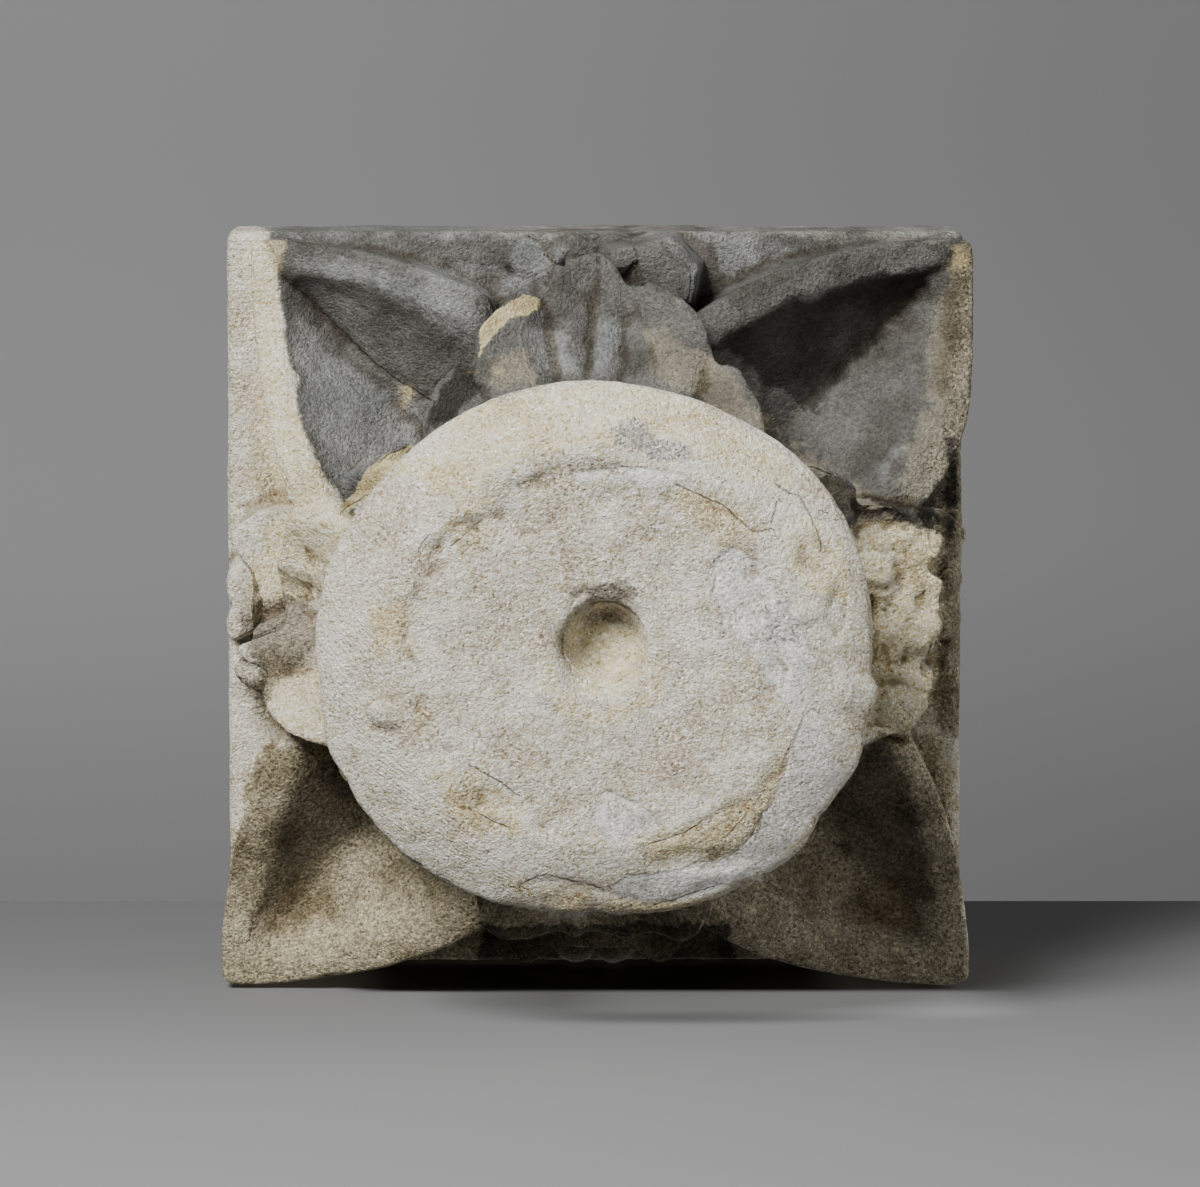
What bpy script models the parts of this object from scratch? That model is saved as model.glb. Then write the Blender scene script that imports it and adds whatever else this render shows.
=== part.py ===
"""Sandstone capital of a slender column, carved from one block.

The block stands on its bed face. From there a rounded necking and a flared bell rise
to a square abacus. A leaf folded along its middle carries each corner, a lobed leaf
spreads against the middle of each side, and a second tier of leaf ends sits above it.
Three of the side leaves are broken, and one margin of a corner leaf has split away.

Units are metres, +Z is up, and the origin is at the middle of the bed face. The best
kept side leaf looks along -Y.
"""
import math
import random

import bmesh
import bpy
from mathutils import Matrix, Vector

# The block and its abacus
HEIGHT = 0.235
ABACUS_SIDE = 0.268
ABACUS_HEIGHT = 0.042
ABACUS_WORN_EDGE = 0.0025

# The turned core: bed face, necking and bell
BED_RADIUS = 0.068
NECKING_RADIUS = 0.0955
NECKING_NOSE_Z = 0.0145
NECKING_TOP_Z = 0.047
BELL_RADIUS = 0.077
BELL_FLARE = 0.035
BELL_FLARE_POWER = 2.6
FLANK_STRAIGHTNESS = 0.7
CORE_SIDES = 64

# The dowel socket in the bed face, slightly off the middle
SOCKET_RADIUS = 0.012
SOCKET_DEPTH = 0.021
SOCKET_MOUTH = 0.004
SOCKET_END_ROUND = 0.004
SOCKET_END_NARROWING = 0.8
SOCKET_SIDES = 24
SOCKET_X = 0.0035
SOCKET_Y = -0.0025
CUT_BEYOND = 0.005

# Corner leaves: their tips stand a little proud of the abacus and hang below it
HORN_PROUD = 0.001
HORN_DEPTH = 0.062
HORN_ROOT_DROP = 0.027
HORN_DROP_POWER = 1.3
HORN_TIP_BLUNT = 0.003
HORN_RUN = 0.098
HORN_CURVE_POWER = 2.4
HORN_STATIONS = 13
HORN_CORE_SHARES = (0.72, 0.45)

# The margins of a corner leaf and the fold between them
HORN_BAND = 0.012
HORN_BAND_AT_TIP = 1.03
HORN_HOLLOW = 0.052
HORN_FOLD_PITCH = 1.15
HORN_FACET_SAG = 0.06
HORN_BATTER = 0.003
HORN_LIP = 0.013
HORN_LIP_ROUND = 0.0012
HORN_LIP_WEAR = 0.4
HORN_RECESS = 0.007
HORN_RECESS_FADE = 0.8
HORN_RECESS_DROP = 0.008
HORN_RECESS_RISE = 0.011
HORN_WEAR_AT_TIP = 0.35
HORN_WEAR_GROWTH = 3.0

# Side leaves: how far they spread out from the bell, and rise of the lobes above the necking
LEAF_SPREAD = 0.059
LEAF_HALF_ANGLE = math.radians(44.0)
LEAF_TIP_RISE = 0.061
LEAF_LOW_LOBE_RISE = 0.023
LEAF_LOW_LOBE_ANGLE = math.radians(34.0)
LEAF_RISE_POWER = 1.2
LEAF_MOST_DROP = 1.15
LEAF_NARROWING = 0.69
LEAF_NARROWING_POWER = 1.15
LEAF_BEDDING = 0.005
LEAF_ROOT_SINK = 0.004
LEAF_CORE_SHARE = 0.8

# The edge, back and surface of a side leaf
LEAF_EDGE = 0.009
LEAF_EDGE_BULGE = 0.001
LEAF_EDGE_MIDDLE = 0.55
LEAF_EDGE_SET_BACK = 0.003
LEAF_BACK_RISE = 0.020
LEAF_BACK_BEND = (0.45, 0.2)
LEAF_BACK_TOP = 1.3
LEAF_SHOULDER_SHORT = 0.004
LEAF_NOTCH = 0.0085
LEAF_NOTCH_POWER = 3.5
LEAF_FLUTE = 0.0028
LEAF_FLUTE_POWER = 1.5
LEAF_MIDRIB = 0.0026
LEAF_MIDRIB_ANGLE = math.radians(-1.5)
LEAF_MIDRIB_WIDTH = math.radians(2.5)
LEAF_NOTCH_ANGLES = [math.radians(a) for a in (-44.0, -25.0, -9.0, 6.0, 24.5, 44.0)]
LEAF_STEPS_PER_LOBE = 6
LEAF_STEPS_OUT = 6
BREAK_FADE_ANGLE = math.radians(5.0)
BREAK_ROUGHNESS = 0.0018

# The second tier, under the abacus and a little short of its side
TIER_HALF_WIDTH = 0.035
TIER_TIP_OFFSET = 0.0275
TIER_TIP_WIDTH = 0.0055
TIER_VALLEY_OFFSET = 0.011
TIER_VALLEY_RISE = 0.006
TIER_SHORT = 0.0025
TIER_MIDDLE_SHORT = 0.010
TIER_SHOULDER_SHORT = 0.013
TIER_SHOULDER_RISE = 0.004
TIER_RETURN = 0.010
TIER_DEPTH = 0.047
TIER_TIP_DEPTH = 0.025
TIER_ROOT_DEPTH = 0.077
TIER_ROOT_SHARE = 0.7
TIER_ROOT_WIDTH = 0.8
TIER_STEPS_OUT = (0.15, 0.45, 0.75, 1.0)
TIER_EDGE = 0.008
TIER_EDGE_SET_BACK = 0.0015
TIER_GROOVE = 0.005
TIER_GROOVE_RISE = 0.012
TIER_BACK_WIDTH = 0.97
KNOB_RADIUS = 0.0095
KNOB_DROP = 0.017
KNOB_SPACING = 0.0140
KNOB_PROUD = 0.0005
KNOB_SINK = 0.002
KNOB_TWIST = math.radians(8.0)

# Depth that a joined form is sunk in its neighbour
SINK = 0.007

ABACUS_BASE_Z = HEIGHT - ABACUS_HEIGHT
JOIN_Z = ABACUS_BASE_Z + SINK
HORN_REACH = ABACUS_SIDE / 2 + HORN_PROUD
HORN_TIP_Z = ABACUS_BASE_Z - HORN_DEPTH
LEAF_ROOT_RADIUS = BELL_RADIUS - LEAF_BEDDING
TIER_REACH = ABACUS_SIDE / 2 - TIER_SHORT
TIER_LOW_Z = ABACUS_BASE_Z - TIER_DEPTH

# Each corner leaf has two margins: the one on its left, seen from outside the corner,
# and the one on its right. For each, how far it starts back from the side of the block,
# how far it draws in along its run, and how far its outer edge is worn up.
CORNERS = {
    "front_left": {"turn": 0, "back": (0.012, 0.0), "draw": (0.017, 0.019), "wear": (0.004, 0.002)},
    "front_right": {"turn": 1, "back": (0.0, 0.0), "draw": (0.024, 0.026), "wear": (0.002, 0.003)},
    "back_right": {"turn": 2, "back": (0.0, 0.0), "draw": (0.024, 0.026), "wear": (0.003, 0.002)},
    "back_left": {"turn": 3, "back": (0.0, 0.0), "draw": (0.026, 0.026), "wear": (0.002, 0.003)},
}

# Each side leaf, with the angles between which its end is broken off, how far from the
# axis the break lies, and how deep the surface in front of it is lost
SIDES = {
    "front": {"turn": 0, "breaks": []},
    "right": {"turn": 1, "breaks": [(-24.0, 22.0, 0.120, 0.010)]},
    "back": {"turn": 2, "breaks": [(-20.0, 24.0, 0.112, 0.0)]},
    "left": {"turn": 3, "breaks": [(-2.0, 44.0, 0.112, 0.018)]},
}


def remove_everything():
    for thing in list(bpy.data.objects):
        bpy.data.objects.remove(thing, do_unlink=True)


def new_collection(name):
    collection = bpy.data.collections.new(name)
    bpy.context.scene.collection.children.link(collection)
    return collection


def add_mesh_object(name, build, collection):
    """Make an object from a bmesh that the function build has filled."""
    bm = bmesh.new()
    build(bm)
    bmesh.ops.recalc_face_normals(bm, faces=bm.faces)
    mesh = bpy.data.meshes.new(name)
    bm.to_mesh(mesh)
    bm.free()
    thing = bpy.data.objects.new(name, mesh)
    collection.objects.link(thing)
    return thing


def loft(bm, rings):
    """Skin closed rings of equally many points, and close both ends."""
    loops = [[bm.verts.new(point) for point in ring] for ring in rings]
    count = len(rings[0])
    for lower, upper in zip(loops, loops[1:]):
        for i in range(count):
            j = (i + 1) % count
            bm.faces.new((lower[i], lower[j], upper[j], upper[i]))
    bm.faces.new(loops[0])
    bm.faces.new(loops[-1])
    bmesh.ops.remove_doubles(bm, verts=bm.verts, dist=0.00001)
    bmesh.ops.triangulate(bm, faces=bm.faces)


def smoothstep(t):
    t = min(max(t, 0.0), 1.0)
    return t * t * (3.0 - 2.0 * t)


def bell_radius(z):
    """Radius of the bell at a height between the necking and the abacus."""
    t = (z - NECKING_TOP_Z) / (ABACUS_BASE_Z - NECKING_TOP_Z)
    return BELL_RADIUS + BELL_FLARE * max(t, 0.0) ** BELL_FLARE_POWER


def core_profile():
    """Outer profile of the bell, necking and bed, from the top down."""
    points = [(0.0, JOIN_Z)]
    bell_steps = 9
    for i in range(bell_steps + 1):
        z = JOIN_Z + (NECKING_TOP_Z - JOIN_Z) * i / bell_steps
        points.append((bell_radius(z), z))
    nose_steps = 4
    for i in range(1, nose_steps + 1):
        turn = math.pi / 2 * i / nose_steps
        points.append((BELL_RADIUS + (NECKING_RADIUS - BELL_RADIUS) * math.sin(turn),
                       NECKING_NOSE_Z + (NECKING_TOP_Z - NECKING_NOSE_Z) * math.cos(turn)))
    flank_steps = 6
    for i in range(1, flank_steps + 1):
        t = 1.0 - i / flank_steps
        turn = math.pi / 2 * t
        round_share = 1.0 - FLANK_STRAIGHTNESS
        out = FLANK_STRAIGHTNESS * t + round_share * math.sin(turn)
        up = FLANK_STRAIGHTNESS * t + round_share * (1.0 - math.cos(turn))
        points.append((BED_RADIUS + (NECKING_RADIUS - BED_RADIUS) * out, NECKING_NOSE_Z * up))
    points.append((0.0, 0.0))
    return points


def turned_core(collection):
    """The bell, necking and bed face, turned about the axis of the column."""
    points = core_profile()
    mesh = bpy.data.meshes.new("capital")
    mesh.from_pydata([(r, 0.0, z) for r, z in points],
                     [(i, i + 1) for i in range(len(points) - 1)], [])
    core = bpy.data.objects.new("capital", mesh)
    collection.objects.link(core)
    turn = core.modifiers.new("turned", "SCREW")
    turn.steps = CORE_SIDES
    turn.render_steps = CORE_SIDES
    turn.use_merge_vertices = True
    turn.merge_threshold = 0.00001
    return core


def abacus(collection):
    """The square slab on top, its edges a little worn."""
    def build(bm):
        bmesh.ops.create_cube(bm, size=1.0)
        bmesh.ops.scale(bm, verts=bm.verts, vec=(ABACUS_SIDE, ABACUS_SIDE, ABACUS_HEIGHT))
        bmesh.ops.translate(bm, verts=bm.verts, vec=(0.0, 0.0, ABACUS_BASE_Z + ABACUS_HEIGHT / 2))

    slab = add_mesh_object("abacus", build, collection)
    wear = slab.modifiers.new("worn edges", "BEVEL")
    wear.width = ABACUS_WORN_EDGE
    wear.segments = 2
    return slab


def margin_point(s, back, draw, left):
    """A point of a corner leaf's outline in plan, s along its side from the corner.

    The leaf lies at the corner (-, -), so its left margin runs along the -X side.
    """
    inset = back + draw * (s / HORN_RUN) ** HORN_CURVE_POWER
    along = -HORN_REACH + s
    across = -HORN_REACH + inset
    return Vector((across, along)) if left else Vector((along, across))


def margin_normal(s, draw, left):
    """Direction in plan from a margin of a corner leaf towards its middle."""
    slope = draw * HORN_CURVE_POWER / HORN_RUN * (s / HORN_RUN) ** (HORN_CURVE_POWER - 1.0)
    inward = Vector((1.0, -slope)) if left else Vector((-slope, 1.0))
    return inward.normalized()


def corner_ring(t, back, draw, wear):
    """Cross ring of a corner leaf, at share t of the way from its tip to its root."""
    z = HORN_TIP_Z - HORN_ROOT_DROP * smoothstep(t) ** HORN_DROP_POWER
    outer = []
    inner = []
    for k in (0, 1):
        start = back[1 - k] + HORN_TIP_BLUNT
        s = start + (HORN_RUN - start) * t
        outer.append(margin_point(s, back[k], draw[k], k == 0))
        start = back[1 - k] + HORN_BAND * HORN_BAND_AT_TIP
        s = start + (HORN_RUN - start) * t
        inner.append(margin_point(s, back[k], draw[k], k == 0)
                     + margin_normal(s, draw[k], k == 0) * HORN_BAND)
    middle = (inner[0] + inner[1]) / 2
    half_gap = (inner[0] - inner[1]).length / 2
    fold_z = z + HORN_HOLLOW * (1.0 - math.exp(-half_gap * HORN_FOLD_PITCH / HORN_HOLLOW))

    def wall(point, amount):
        """The back of the leaf above a margin, from the abacus down to the margin's edge."""
        lip_z = z + HORN_LIP + amount * HORN_LIP_WEAR
        worn_z = z + amount * min(1.0, HORN_WEAR_AT_TIP + t * HORN_WEAR_GROWTH)
        levels = [(HORN_BATTER, JOIN_Z),
                  (HORN_RECESS * HORN_RECESS_FADE, ABACUS_BASE_Z - HORN_RECESS_DROP),
                  (HORN_RECESS, lip_z + HORN_RECESS_RISE), (HORN_LIP_ROUND, lip_z), (0.0, worn_z)]
        return [Vector((*(point + (-point).normalized() * inset), level)) for inset, level in levels]

    def facet(point, share):
        sag = HORN_FACET_SAG * half_gap * math.sin(math.pi * share)
        return Vector((*point.lerp(middle, share), z + (fold_z - z) * share + sag))

    ring = wall(outer[0], wear[0]) + [Vector((*inner[0], z))]
    ring += [facet(inner[0], 0.35), facet(inner[0], 0.7)]
    ring.append(Vector((*middle, fold_z)))
    ring += [facet(inner[1], 0.7), facet(inner[1], 0.35)]
    ring += [Vector((*inner[1], z))] + wall(outer[1], wear[1])[::-1]
    return ring


def corner_leaf(name, turn, back, draw, wear, collection):
    """A leaf folded along the diagonal, its underside hollow between two broad margins."""
    def build(bm):
        tip = corner_ring(0.0, back, draw, wear)
        wall_points = 5
        blunt = (tip[wall_points - 1] + tip[-wall_points]) / 2
        rings = [tip[:wall_points] + [blunt] * (len(tip) - 2 * wall_points) + tip[-wall_points:]]
        rings += [corner_ring(i / HORN_STATIONS, back, draw, wear)
                  for i in range(1, HORN_STATIONS + 1)]
        for share in HORN_CORE_SHARES:
            rings.append([Vector((p.x * share, p.y * share, p.z)) for p in rings[HORN_STATIONS]])
        loft(bm, rings)
        bmesh.ops.rotate(bm, verts=bm.verts, matrix=Matrix.Rotation(turn * math.pi / 2, 3, "Z"))

    return add_mesh_object(name, build, collection)


def leaf_outline(angle):
    """Reach of a whole side leaf at an angle from its middle, and the place across its lobe."""
    narrowing = LEAF_NARROWING * (abs(angle) / LEAF_HALF_ANGLE) ** LEAF_NARROWING_POWER
    reach = LEAF_ROOT_RADIUS + LEAF_SPREAD * (1.0 - narrowing)
    for low, high in zip(LEAF_NOTCH_ANGLES, LEAF_NOTCH_ANGLES[1:]):
        if low <= angle <= high:
            across = 2.0 * (angle - low) / (high - low) - 1.0
            return reach - LEAF_NOTCH * abs(across) ** LEAF_NOTCH_POWER, across
    return reach - LEAF_NOTCH, 1.0


def leaf_ring(angle, breaks, rough):
    """Section of a side leaf through the axis of the column, as radius and height."""
    reach, across = leaf_outline(angle)
    lost = 0.0
    for start, end, distance, depth in breaks:
        start, end = math.radians(start), math.radians(end)
        if start <= angle <= end:
            reach = min(reach, (distance + rough) / math.cos(angle))
            lost = depth * smoothstep(min(angle - start, end - angle) / BREAK_FADE_ANGLE)
    drop = min((abs(angle) / LEAF_LOW_LOBE_ANGLE) ** LEAF_RISE_POWER, LEAF_MOST_DROP)
    edge_z = NECKING_TOP_Z + LEAF_TIP_RISE + (LEAF_LOW_LOBE_RISE - LEAF_TIP_RISE) * drop
    root_z = NECKING_TOP_Z - LEAF_ROOT_SINK
    flute = LEAF_FLUTE * (0.5 - abs(across) ** LEAF_FLUTE_POWER)
    rib = LEAF_MIDRIB * math.exp(-((angle - LEAF_MIDRIB_ANGLE) / LEAF_MIDRIB_WIDTH) ** 2)
    ring = [(LEAF_ROOT_RADIUS * LEAF_CORE_SHARE, root_z)]
    for i in range(LEAF_STEPS_OUT + 1):
        share = i / LEAF_STEPS_OUT
        turn = math.pi / 2 * share
        radius = LEAF_ROOT_RADIUS + (reach - LEAF_ROOT_RADIUS) * (1.0 - math.cos(turn))
        z = root_z + (edge_z - root_z) * math.sin(turn)
        ring.append((radius, z - (flute - rib) * share + (lost - rough) * share))
    ring.append((reach + LEAF_EDGE_BULGE, edge_z + lost + LEAF_EDGE * LEAF_EDGE_MIDDLE))
    top_z = edge_z + lost + LEAF_EDGE
    shoulder = min(bell_radius(top_z + LEAF_BACK_RISE), reach - LEAF_SHOULDER_SHORT)
    ring.append((reach - LEAF_EDGE_SET_BACK, top_z))
    bend_out, bend_up = LEAF_BACK_BEND
    ring.append((shoulder + (reach - shoulder) * bend_out, top_z + LEAF_BACK_RISE * bend_up))
    ring.append((shoulder, top_z + LEAF_BACK_RISE))
    ring.append((LEAF_ROOT_RADIUS * LEAF_CORE_SHARE, top_z + LEAF_BACK_RISE * LEAF_BACK_TOP))
    return ring


def side_leaf(name, turn, breaks, collection):
    """A lobed leaf that springs from behind the necking and curls out from the bell."""
    def build(bm):
        chance = random.Random(name)
        rings = []
        lobes = list(zip(LEAF_NOTCH_ANGLES, LEAF_NOTCH_ANGLES[1:]))
        for low, high in lobes:
            last = LEAF_STEPS_PER_LOBE + (1 if (low, high) == lobes[-1] else 0)
            for i in range(last):
                angle = low + (high - low) * i / LEAF_STEPS_PER_LOBE
                broken = any(math.radians(b[0]) <= angle <= math.radians(b[1]) for b in breaks)
                rough = chance.uniform(-BREAK_ROUGHNESS, BREAK_ROUGHNESS) if broken else 0.0
                section = leaf_ring(angle, breaks, rough)
                rings.append([Vector((r * math.sin(angle), -r * math.cos(angle), z))
                              for r, z in section])
        loft(bm, rings)
        bmesh.ops.rotate(bm, verts=bm.verts, matrix=Matrix.Rotation(turn * math.pi / 2, 3, "Z"))

    return add_mesh_object(name, build, collection)


def tier_outline():
    """Corners of the upper tier in plan from its middle outwards, with their heights."""
    middle = ABACUS_SIDE / 2 - TIER_MIDDLE_SHORT
    shoulder = ABACUS_SIDE / 2 - TIER_SHOULDER_SHORT
    tip_z = ABACUS_BASE_Z - TIER_TIP_DEPTH
    return [(0.0, middle, TIER_LOW_Z),
            (TIER_VALLEY_OFFSET, middle, TIER_LOW_Z + TIER_VALLEY_RISE),
            (TIER_TIP_OFFSET - TIER_TIP_WIDTH, TIER_REACH, tip_z),
            (TIER_TIP_OFFSET, TIER_REACH, tip_z),
            (TIER_HALF_WIDTH, shoulder, tip_z + TIER_SHOULDER_RISE),
            (TIER_HALF_WIDTH, shoulder - TIER_RETURN, tip_z + TIER_RETURN)]


def upper_tier(name, turn, collection):
    """The ends of a second leaf behind a side leaf, spread under the abacus."""
    def build(bm):
        half = tier_outline()
        outline = [(-x, reach, z) for x, reach, z in reversed(half[1:])] + half
        rings = []
        root_z = ABACUS_BASE_Z - TIER_ROOT_DEPTH
        root = bell_radius(root_z)
        for x, reach, z in outline:
            ring = [Vector((x * TIER_ROOT_WIDTH, -root * TIER_ROOT_SHARE, root_z))]
            for share in TIER_STEPS_OUT:
                out = root + (reach - root) * (1.0 - math.cos(math.pi / 2 * share))
                up = root_z + (z - root_z) * math.sin(math.pi / 2 * share)
                width = TIER_ROOT_WIDTH + (1.0 - TIER_ROOT_WIDTH) * share
                ring.append(Vector((x * width, -out, up)))
            ring.append(Vector((x, -reach + TIER_EDGE_SET_BACK, z + TIER_EDGE)))
            ring.append(Vector((x * TIER_BACK_WIDTH, -reach + TIER_GROOVE, z + TIER_GROOVE_RISE)))
            ring.append(Vector((x * TIER_BACK_WIDTH, -reach + TIER_GROOVE, JOIN_Z)))
            ring.append(Vector((x * TIER_ROOT_WIDTH, -root * TIER_ROOT_SHARE, JOIN_Z)))
            rings.append(ring)
        loft(bm, rings)
        bmesh.ops.rotate(bm, verts=bm.verts, matrix=Matrix.Rotation(turn * math.pi / 2, 3, "Z"))

    return add_mesh_object(name, build, collection)


def knob(name, turn, side, collection):
    """One of the two small rounded ends that meet the abacus above a side leaf."""
    def build(bm):
        bmesh.ops.create_uvsphere(bm, u_segments=12, v_segments=7, radius=KNOB_RADIUS)
        bmesh.ops.scale(bm, verts=bm.verts, vec=(1.0, 1.0, KNOB_DROP / KNOB_RADIUS))
        bmesh.ops.rotate(bm, verts=bm.verts, matrix=Matrix.Rotation(KNOB_TWIST, 3, "Z"))
        reach = ABACUS_SIDE / 2 + KNOB_PROUD - KNOB_RADIUS
        place = Vector((side * KNOB_SPACING / 2, -reach, ABACUS_BASE_Z - KNOB_SINK))
        bmesh.ops.translate(bm, verts=bm.verts, vec=place)
        bmesh.ops.rotate(bm, verts=bm.verts, matrix=Matrix.Rotation(turn * math.pi / 2, 3, "Z"))

    return add_mesh_object(name, build, collection)


def socket_cutter(collection):
    """The space of the dowel socket, with a chipped mouth wider than the hole."""
    mouth_radius = SOCKET_RADIUS + SOCKET_MOUTH
    profile = [(0.0, SOCKET_DEPTH), (SOCKET_RADIUS * SOCKET_END_NARROWING, SOCKET_DEPTH),
               (SOCKET_RADIUS, SOCKET_DEPTH - SOCKET_END_ROUND), (SOCKET_RADIUS, SOCKET_MOUTH),
               (mouth_radius, 0.0), (mouth_radius, -CUT_BEYOND), (0.0, -CUT_BEYOND)]
    mesh = bpy.data.meshes.new("socket")
    mesh.from_pydata([(r, 0.0, z) for r, z in profile],
                     [(i, i + 1) for i in range(len(profile) - 1)], [])
    cutter = bpy.data.objects.new("socket", mesh)
    cutter.location = (SOCKET_X, SOCKET_Y, 0.0)
    collection.objects.link(cutter)
    turn = cutter.modifiers.new("turned", "SCREW")
    turn.steps = SOCKET_SIDES
    turn.render_steps = SOCKET_SIDES
    turn.use_merge_vertices = True
    turn.merge_threshold = 0.00001
    return cutter


def sandstone():
    """Pale grey-beige sandstone."""
    stone = bpy.data.materials.new("sandstone")
    stone.use_nodes = True
    shader = stone.node_tree.nodes["Principled BSDF"]
    shader.inputs["Base Color"].default_value = (0.48, 0.44, 0.36, 1.0)
    shader.inputs["Roughness"].default_value = 0.93
    shader.inputs["Metallic"].default_value = 0.0
    return stone


def combine(block, other, operation):
    """Join a form to the block, or cut it away, and keep the form as a guide."""
    cut = block.modifiers.new(f"{operation.lower()} {other.name}", "BOOLEAN")
    cut.operation = operation
    cut.object = other
    other.hide_render = True
    other.display_type = "WIRE"


remove_everything()
parts = new_collection("Sandstone capital")
forms = new_collection("Forms and cutters")

capital = turned_core(parts)
combine(capital, abacus(forms), "UNION")
for corner, values in CORNERS.items():
    leaf = corner_leaf(f"corner_leaf_{corner}", values["turn"], values["back"], values["draw"],
                       values["wear"], forms)
    combine(capital, leaf, "UNION")
for side, values in SIDES.items():
    combine(capital, upper_tier(f"upper_tier_{side}", values["turn"], forms), "UNION")
    for knob_side in (-1, 1):
        end = knob(f"knob_{side}_{'left' if knob_side < 0 else 'right'}", values["turn"], knob_side, forms)
        combine(capital, end, "UNION")
    combine(capital, side_leaf(f"side_leaf_{side}", values["turn"], values["breaks"], forms), "UNION")
combine(capital, socket_cutter(forms), "DIFFERENCE")
capital.data.materials.append(sandstone())
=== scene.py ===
"""Sandstone capital seen from below, as it lies on its back side on a table."""

import math

import bpy
import numpy as np
from mathutils import Matrix, Vector


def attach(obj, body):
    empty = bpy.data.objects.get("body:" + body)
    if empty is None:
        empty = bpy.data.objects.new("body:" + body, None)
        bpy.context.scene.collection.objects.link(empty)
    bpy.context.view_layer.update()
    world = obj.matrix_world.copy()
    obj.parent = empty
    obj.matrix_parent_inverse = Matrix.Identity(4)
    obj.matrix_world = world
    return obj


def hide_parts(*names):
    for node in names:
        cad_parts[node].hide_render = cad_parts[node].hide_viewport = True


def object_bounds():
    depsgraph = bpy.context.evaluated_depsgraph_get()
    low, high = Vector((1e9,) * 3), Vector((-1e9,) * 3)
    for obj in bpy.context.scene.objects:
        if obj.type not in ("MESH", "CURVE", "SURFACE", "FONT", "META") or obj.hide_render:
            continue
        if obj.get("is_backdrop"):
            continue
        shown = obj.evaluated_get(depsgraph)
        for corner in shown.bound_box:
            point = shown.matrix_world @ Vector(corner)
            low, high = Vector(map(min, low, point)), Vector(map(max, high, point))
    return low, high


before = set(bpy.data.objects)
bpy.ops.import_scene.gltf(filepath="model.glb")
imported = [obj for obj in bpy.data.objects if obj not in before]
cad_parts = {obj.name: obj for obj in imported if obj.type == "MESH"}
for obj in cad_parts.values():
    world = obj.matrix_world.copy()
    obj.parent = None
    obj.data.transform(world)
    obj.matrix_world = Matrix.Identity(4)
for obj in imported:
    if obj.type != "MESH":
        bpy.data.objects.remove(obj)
cad_low, cad_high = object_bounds()

# Camera. It looks up at the bed face along the axis of the column, tilted a little,
# as a long lens sees the block lying on its back side.
PICTURE_WIDTH = 1200
PICTURE_HEIGHT = 1187
CAMERA_TILT = math.radians(5.6)
CAMERA_DISTANCE = 3.0
CAMERA_AIM = (0.0020, 0.0, 0.193)
CAMERA_RAISED = 0.00146
CAMERA_LENS = 246.96
SENSOR_WIDTH = 36.0
camera_ahead = Vector((0.0, math.sin(CAMERA_TILT), math.cos(CAMERA_TILT)))
camera_up = Vector((0.0, -math.cos(CAMERA_TILT), math.sin(CAMERA_TILT)))
camera_right = Vector((1.0, 0.0, 0.0))
camera_place = (Vector(CAMERA_AIM) + camera_up * CAMERA_RAISED
                - camera_ahead * CAMERA_DISTANCE)
camera_data = bpy.data.cameras.new("camera")
camera_data.lens = CAMERA_LENS
camera_data.sensor_width = SENSOR_WIDTH
camera = bpy.data.objects.new("camera", camera_data)
bpy.context.scene.collection.objects.link(camera)
camera.matrix_world = Matrix.Translation(camera_place) @ Matrix(
    (camera_right, camera_up, -camera_ahead)).transposed().to_4x4()
bpy.context.scene.camera = camera


# The block. One piece of sandstone, cut to the frame's form; its surface is closed up
# evenly here, so that wear and breaks can be worked into it.
GRAIN_CELL = 0.0013
WELD_REACH = 0.00002
SOFTENING = 3


def even_surface(node, cell):
    """A closed mesh of even small faces over the form of a node."""
    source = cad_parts[node]
    rough = bpy.data.objects.new("rough", source.data.copy())
    rough.matrix_world = source.matrix_world.copy()
    bpy.context.scene.collection.objects.link(rough)
    close = rough.modifiers.new("close", "WELD")
    close.merge_threshold = WELD_REACH
    even = rough.modifiers.new("even", "REMESH")
    even.mode = "VOXEL"
    even.voxel_size = cell
    even.adaptivity = 0.0
    view = bpy.context.evaluated_depsgraph_get()
    mesh = bpy.data.meshes.new_from_object(rough.evaluated_get(view))
    mesh.transform(rough.matrix_world)
    bpy.data.objects.remove(rough, do_unlink=True)
    return mesh


def read_points(mesh):
    flat = np.empty(len(mesh.vertices) * 3)
    mesh.vertices.foreach_get("co", flat)
    return flat.reshape(-1, 3)


def write_points(mesh, points):
    mesh.vertices.foreach_set("co", points.astype(np.float32).ravel())
    mesh.update()


def read_normals(mesh):
    flat = np.empty(len(mesh.vertices) * 3)
    mesh.vertex_normals.foreach_get("vector", flat)
    return flat.reshape(-1, 3)


def read_edges(mesh):
    flat = np.empty(len(mesh.edges) * 2, dtype=np.int32)
    mesh.edges.foreach_get("vertices", flat)
    return flat.reshape(-1, 2)


def spread(values, edges, times):
    """Average of each vertex's neighbours, taken so many times."""
    count = len(values)
    a, b = edges[:, 0], edges[:, 1]
    degree = np.bincount(a, minlength=count) + np.bincount(b, minlength=count)
    degree = np.maximum(degree, 1)
    table = values.reshape(count, -1).copy()
    for _ in range(times):
        columns = [np.bincount(a, table[b, k], count) + np.bincount(b, table[a, k], count)
                   for k in range(table.shape[1])]
        summed = np.stack(columns, axis=1)
        table = 0.5 * table + 0.5 * summed / degree[:, None]
    return table.reshape(values.shape)


stone_mesh = even_surface("capital", GRAIN_CELL)
edges = read_edges(stone_mesh)
write_points(stone_mesh, spread(read_points(stone_mesh), edges, SOFTENING))


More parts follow.
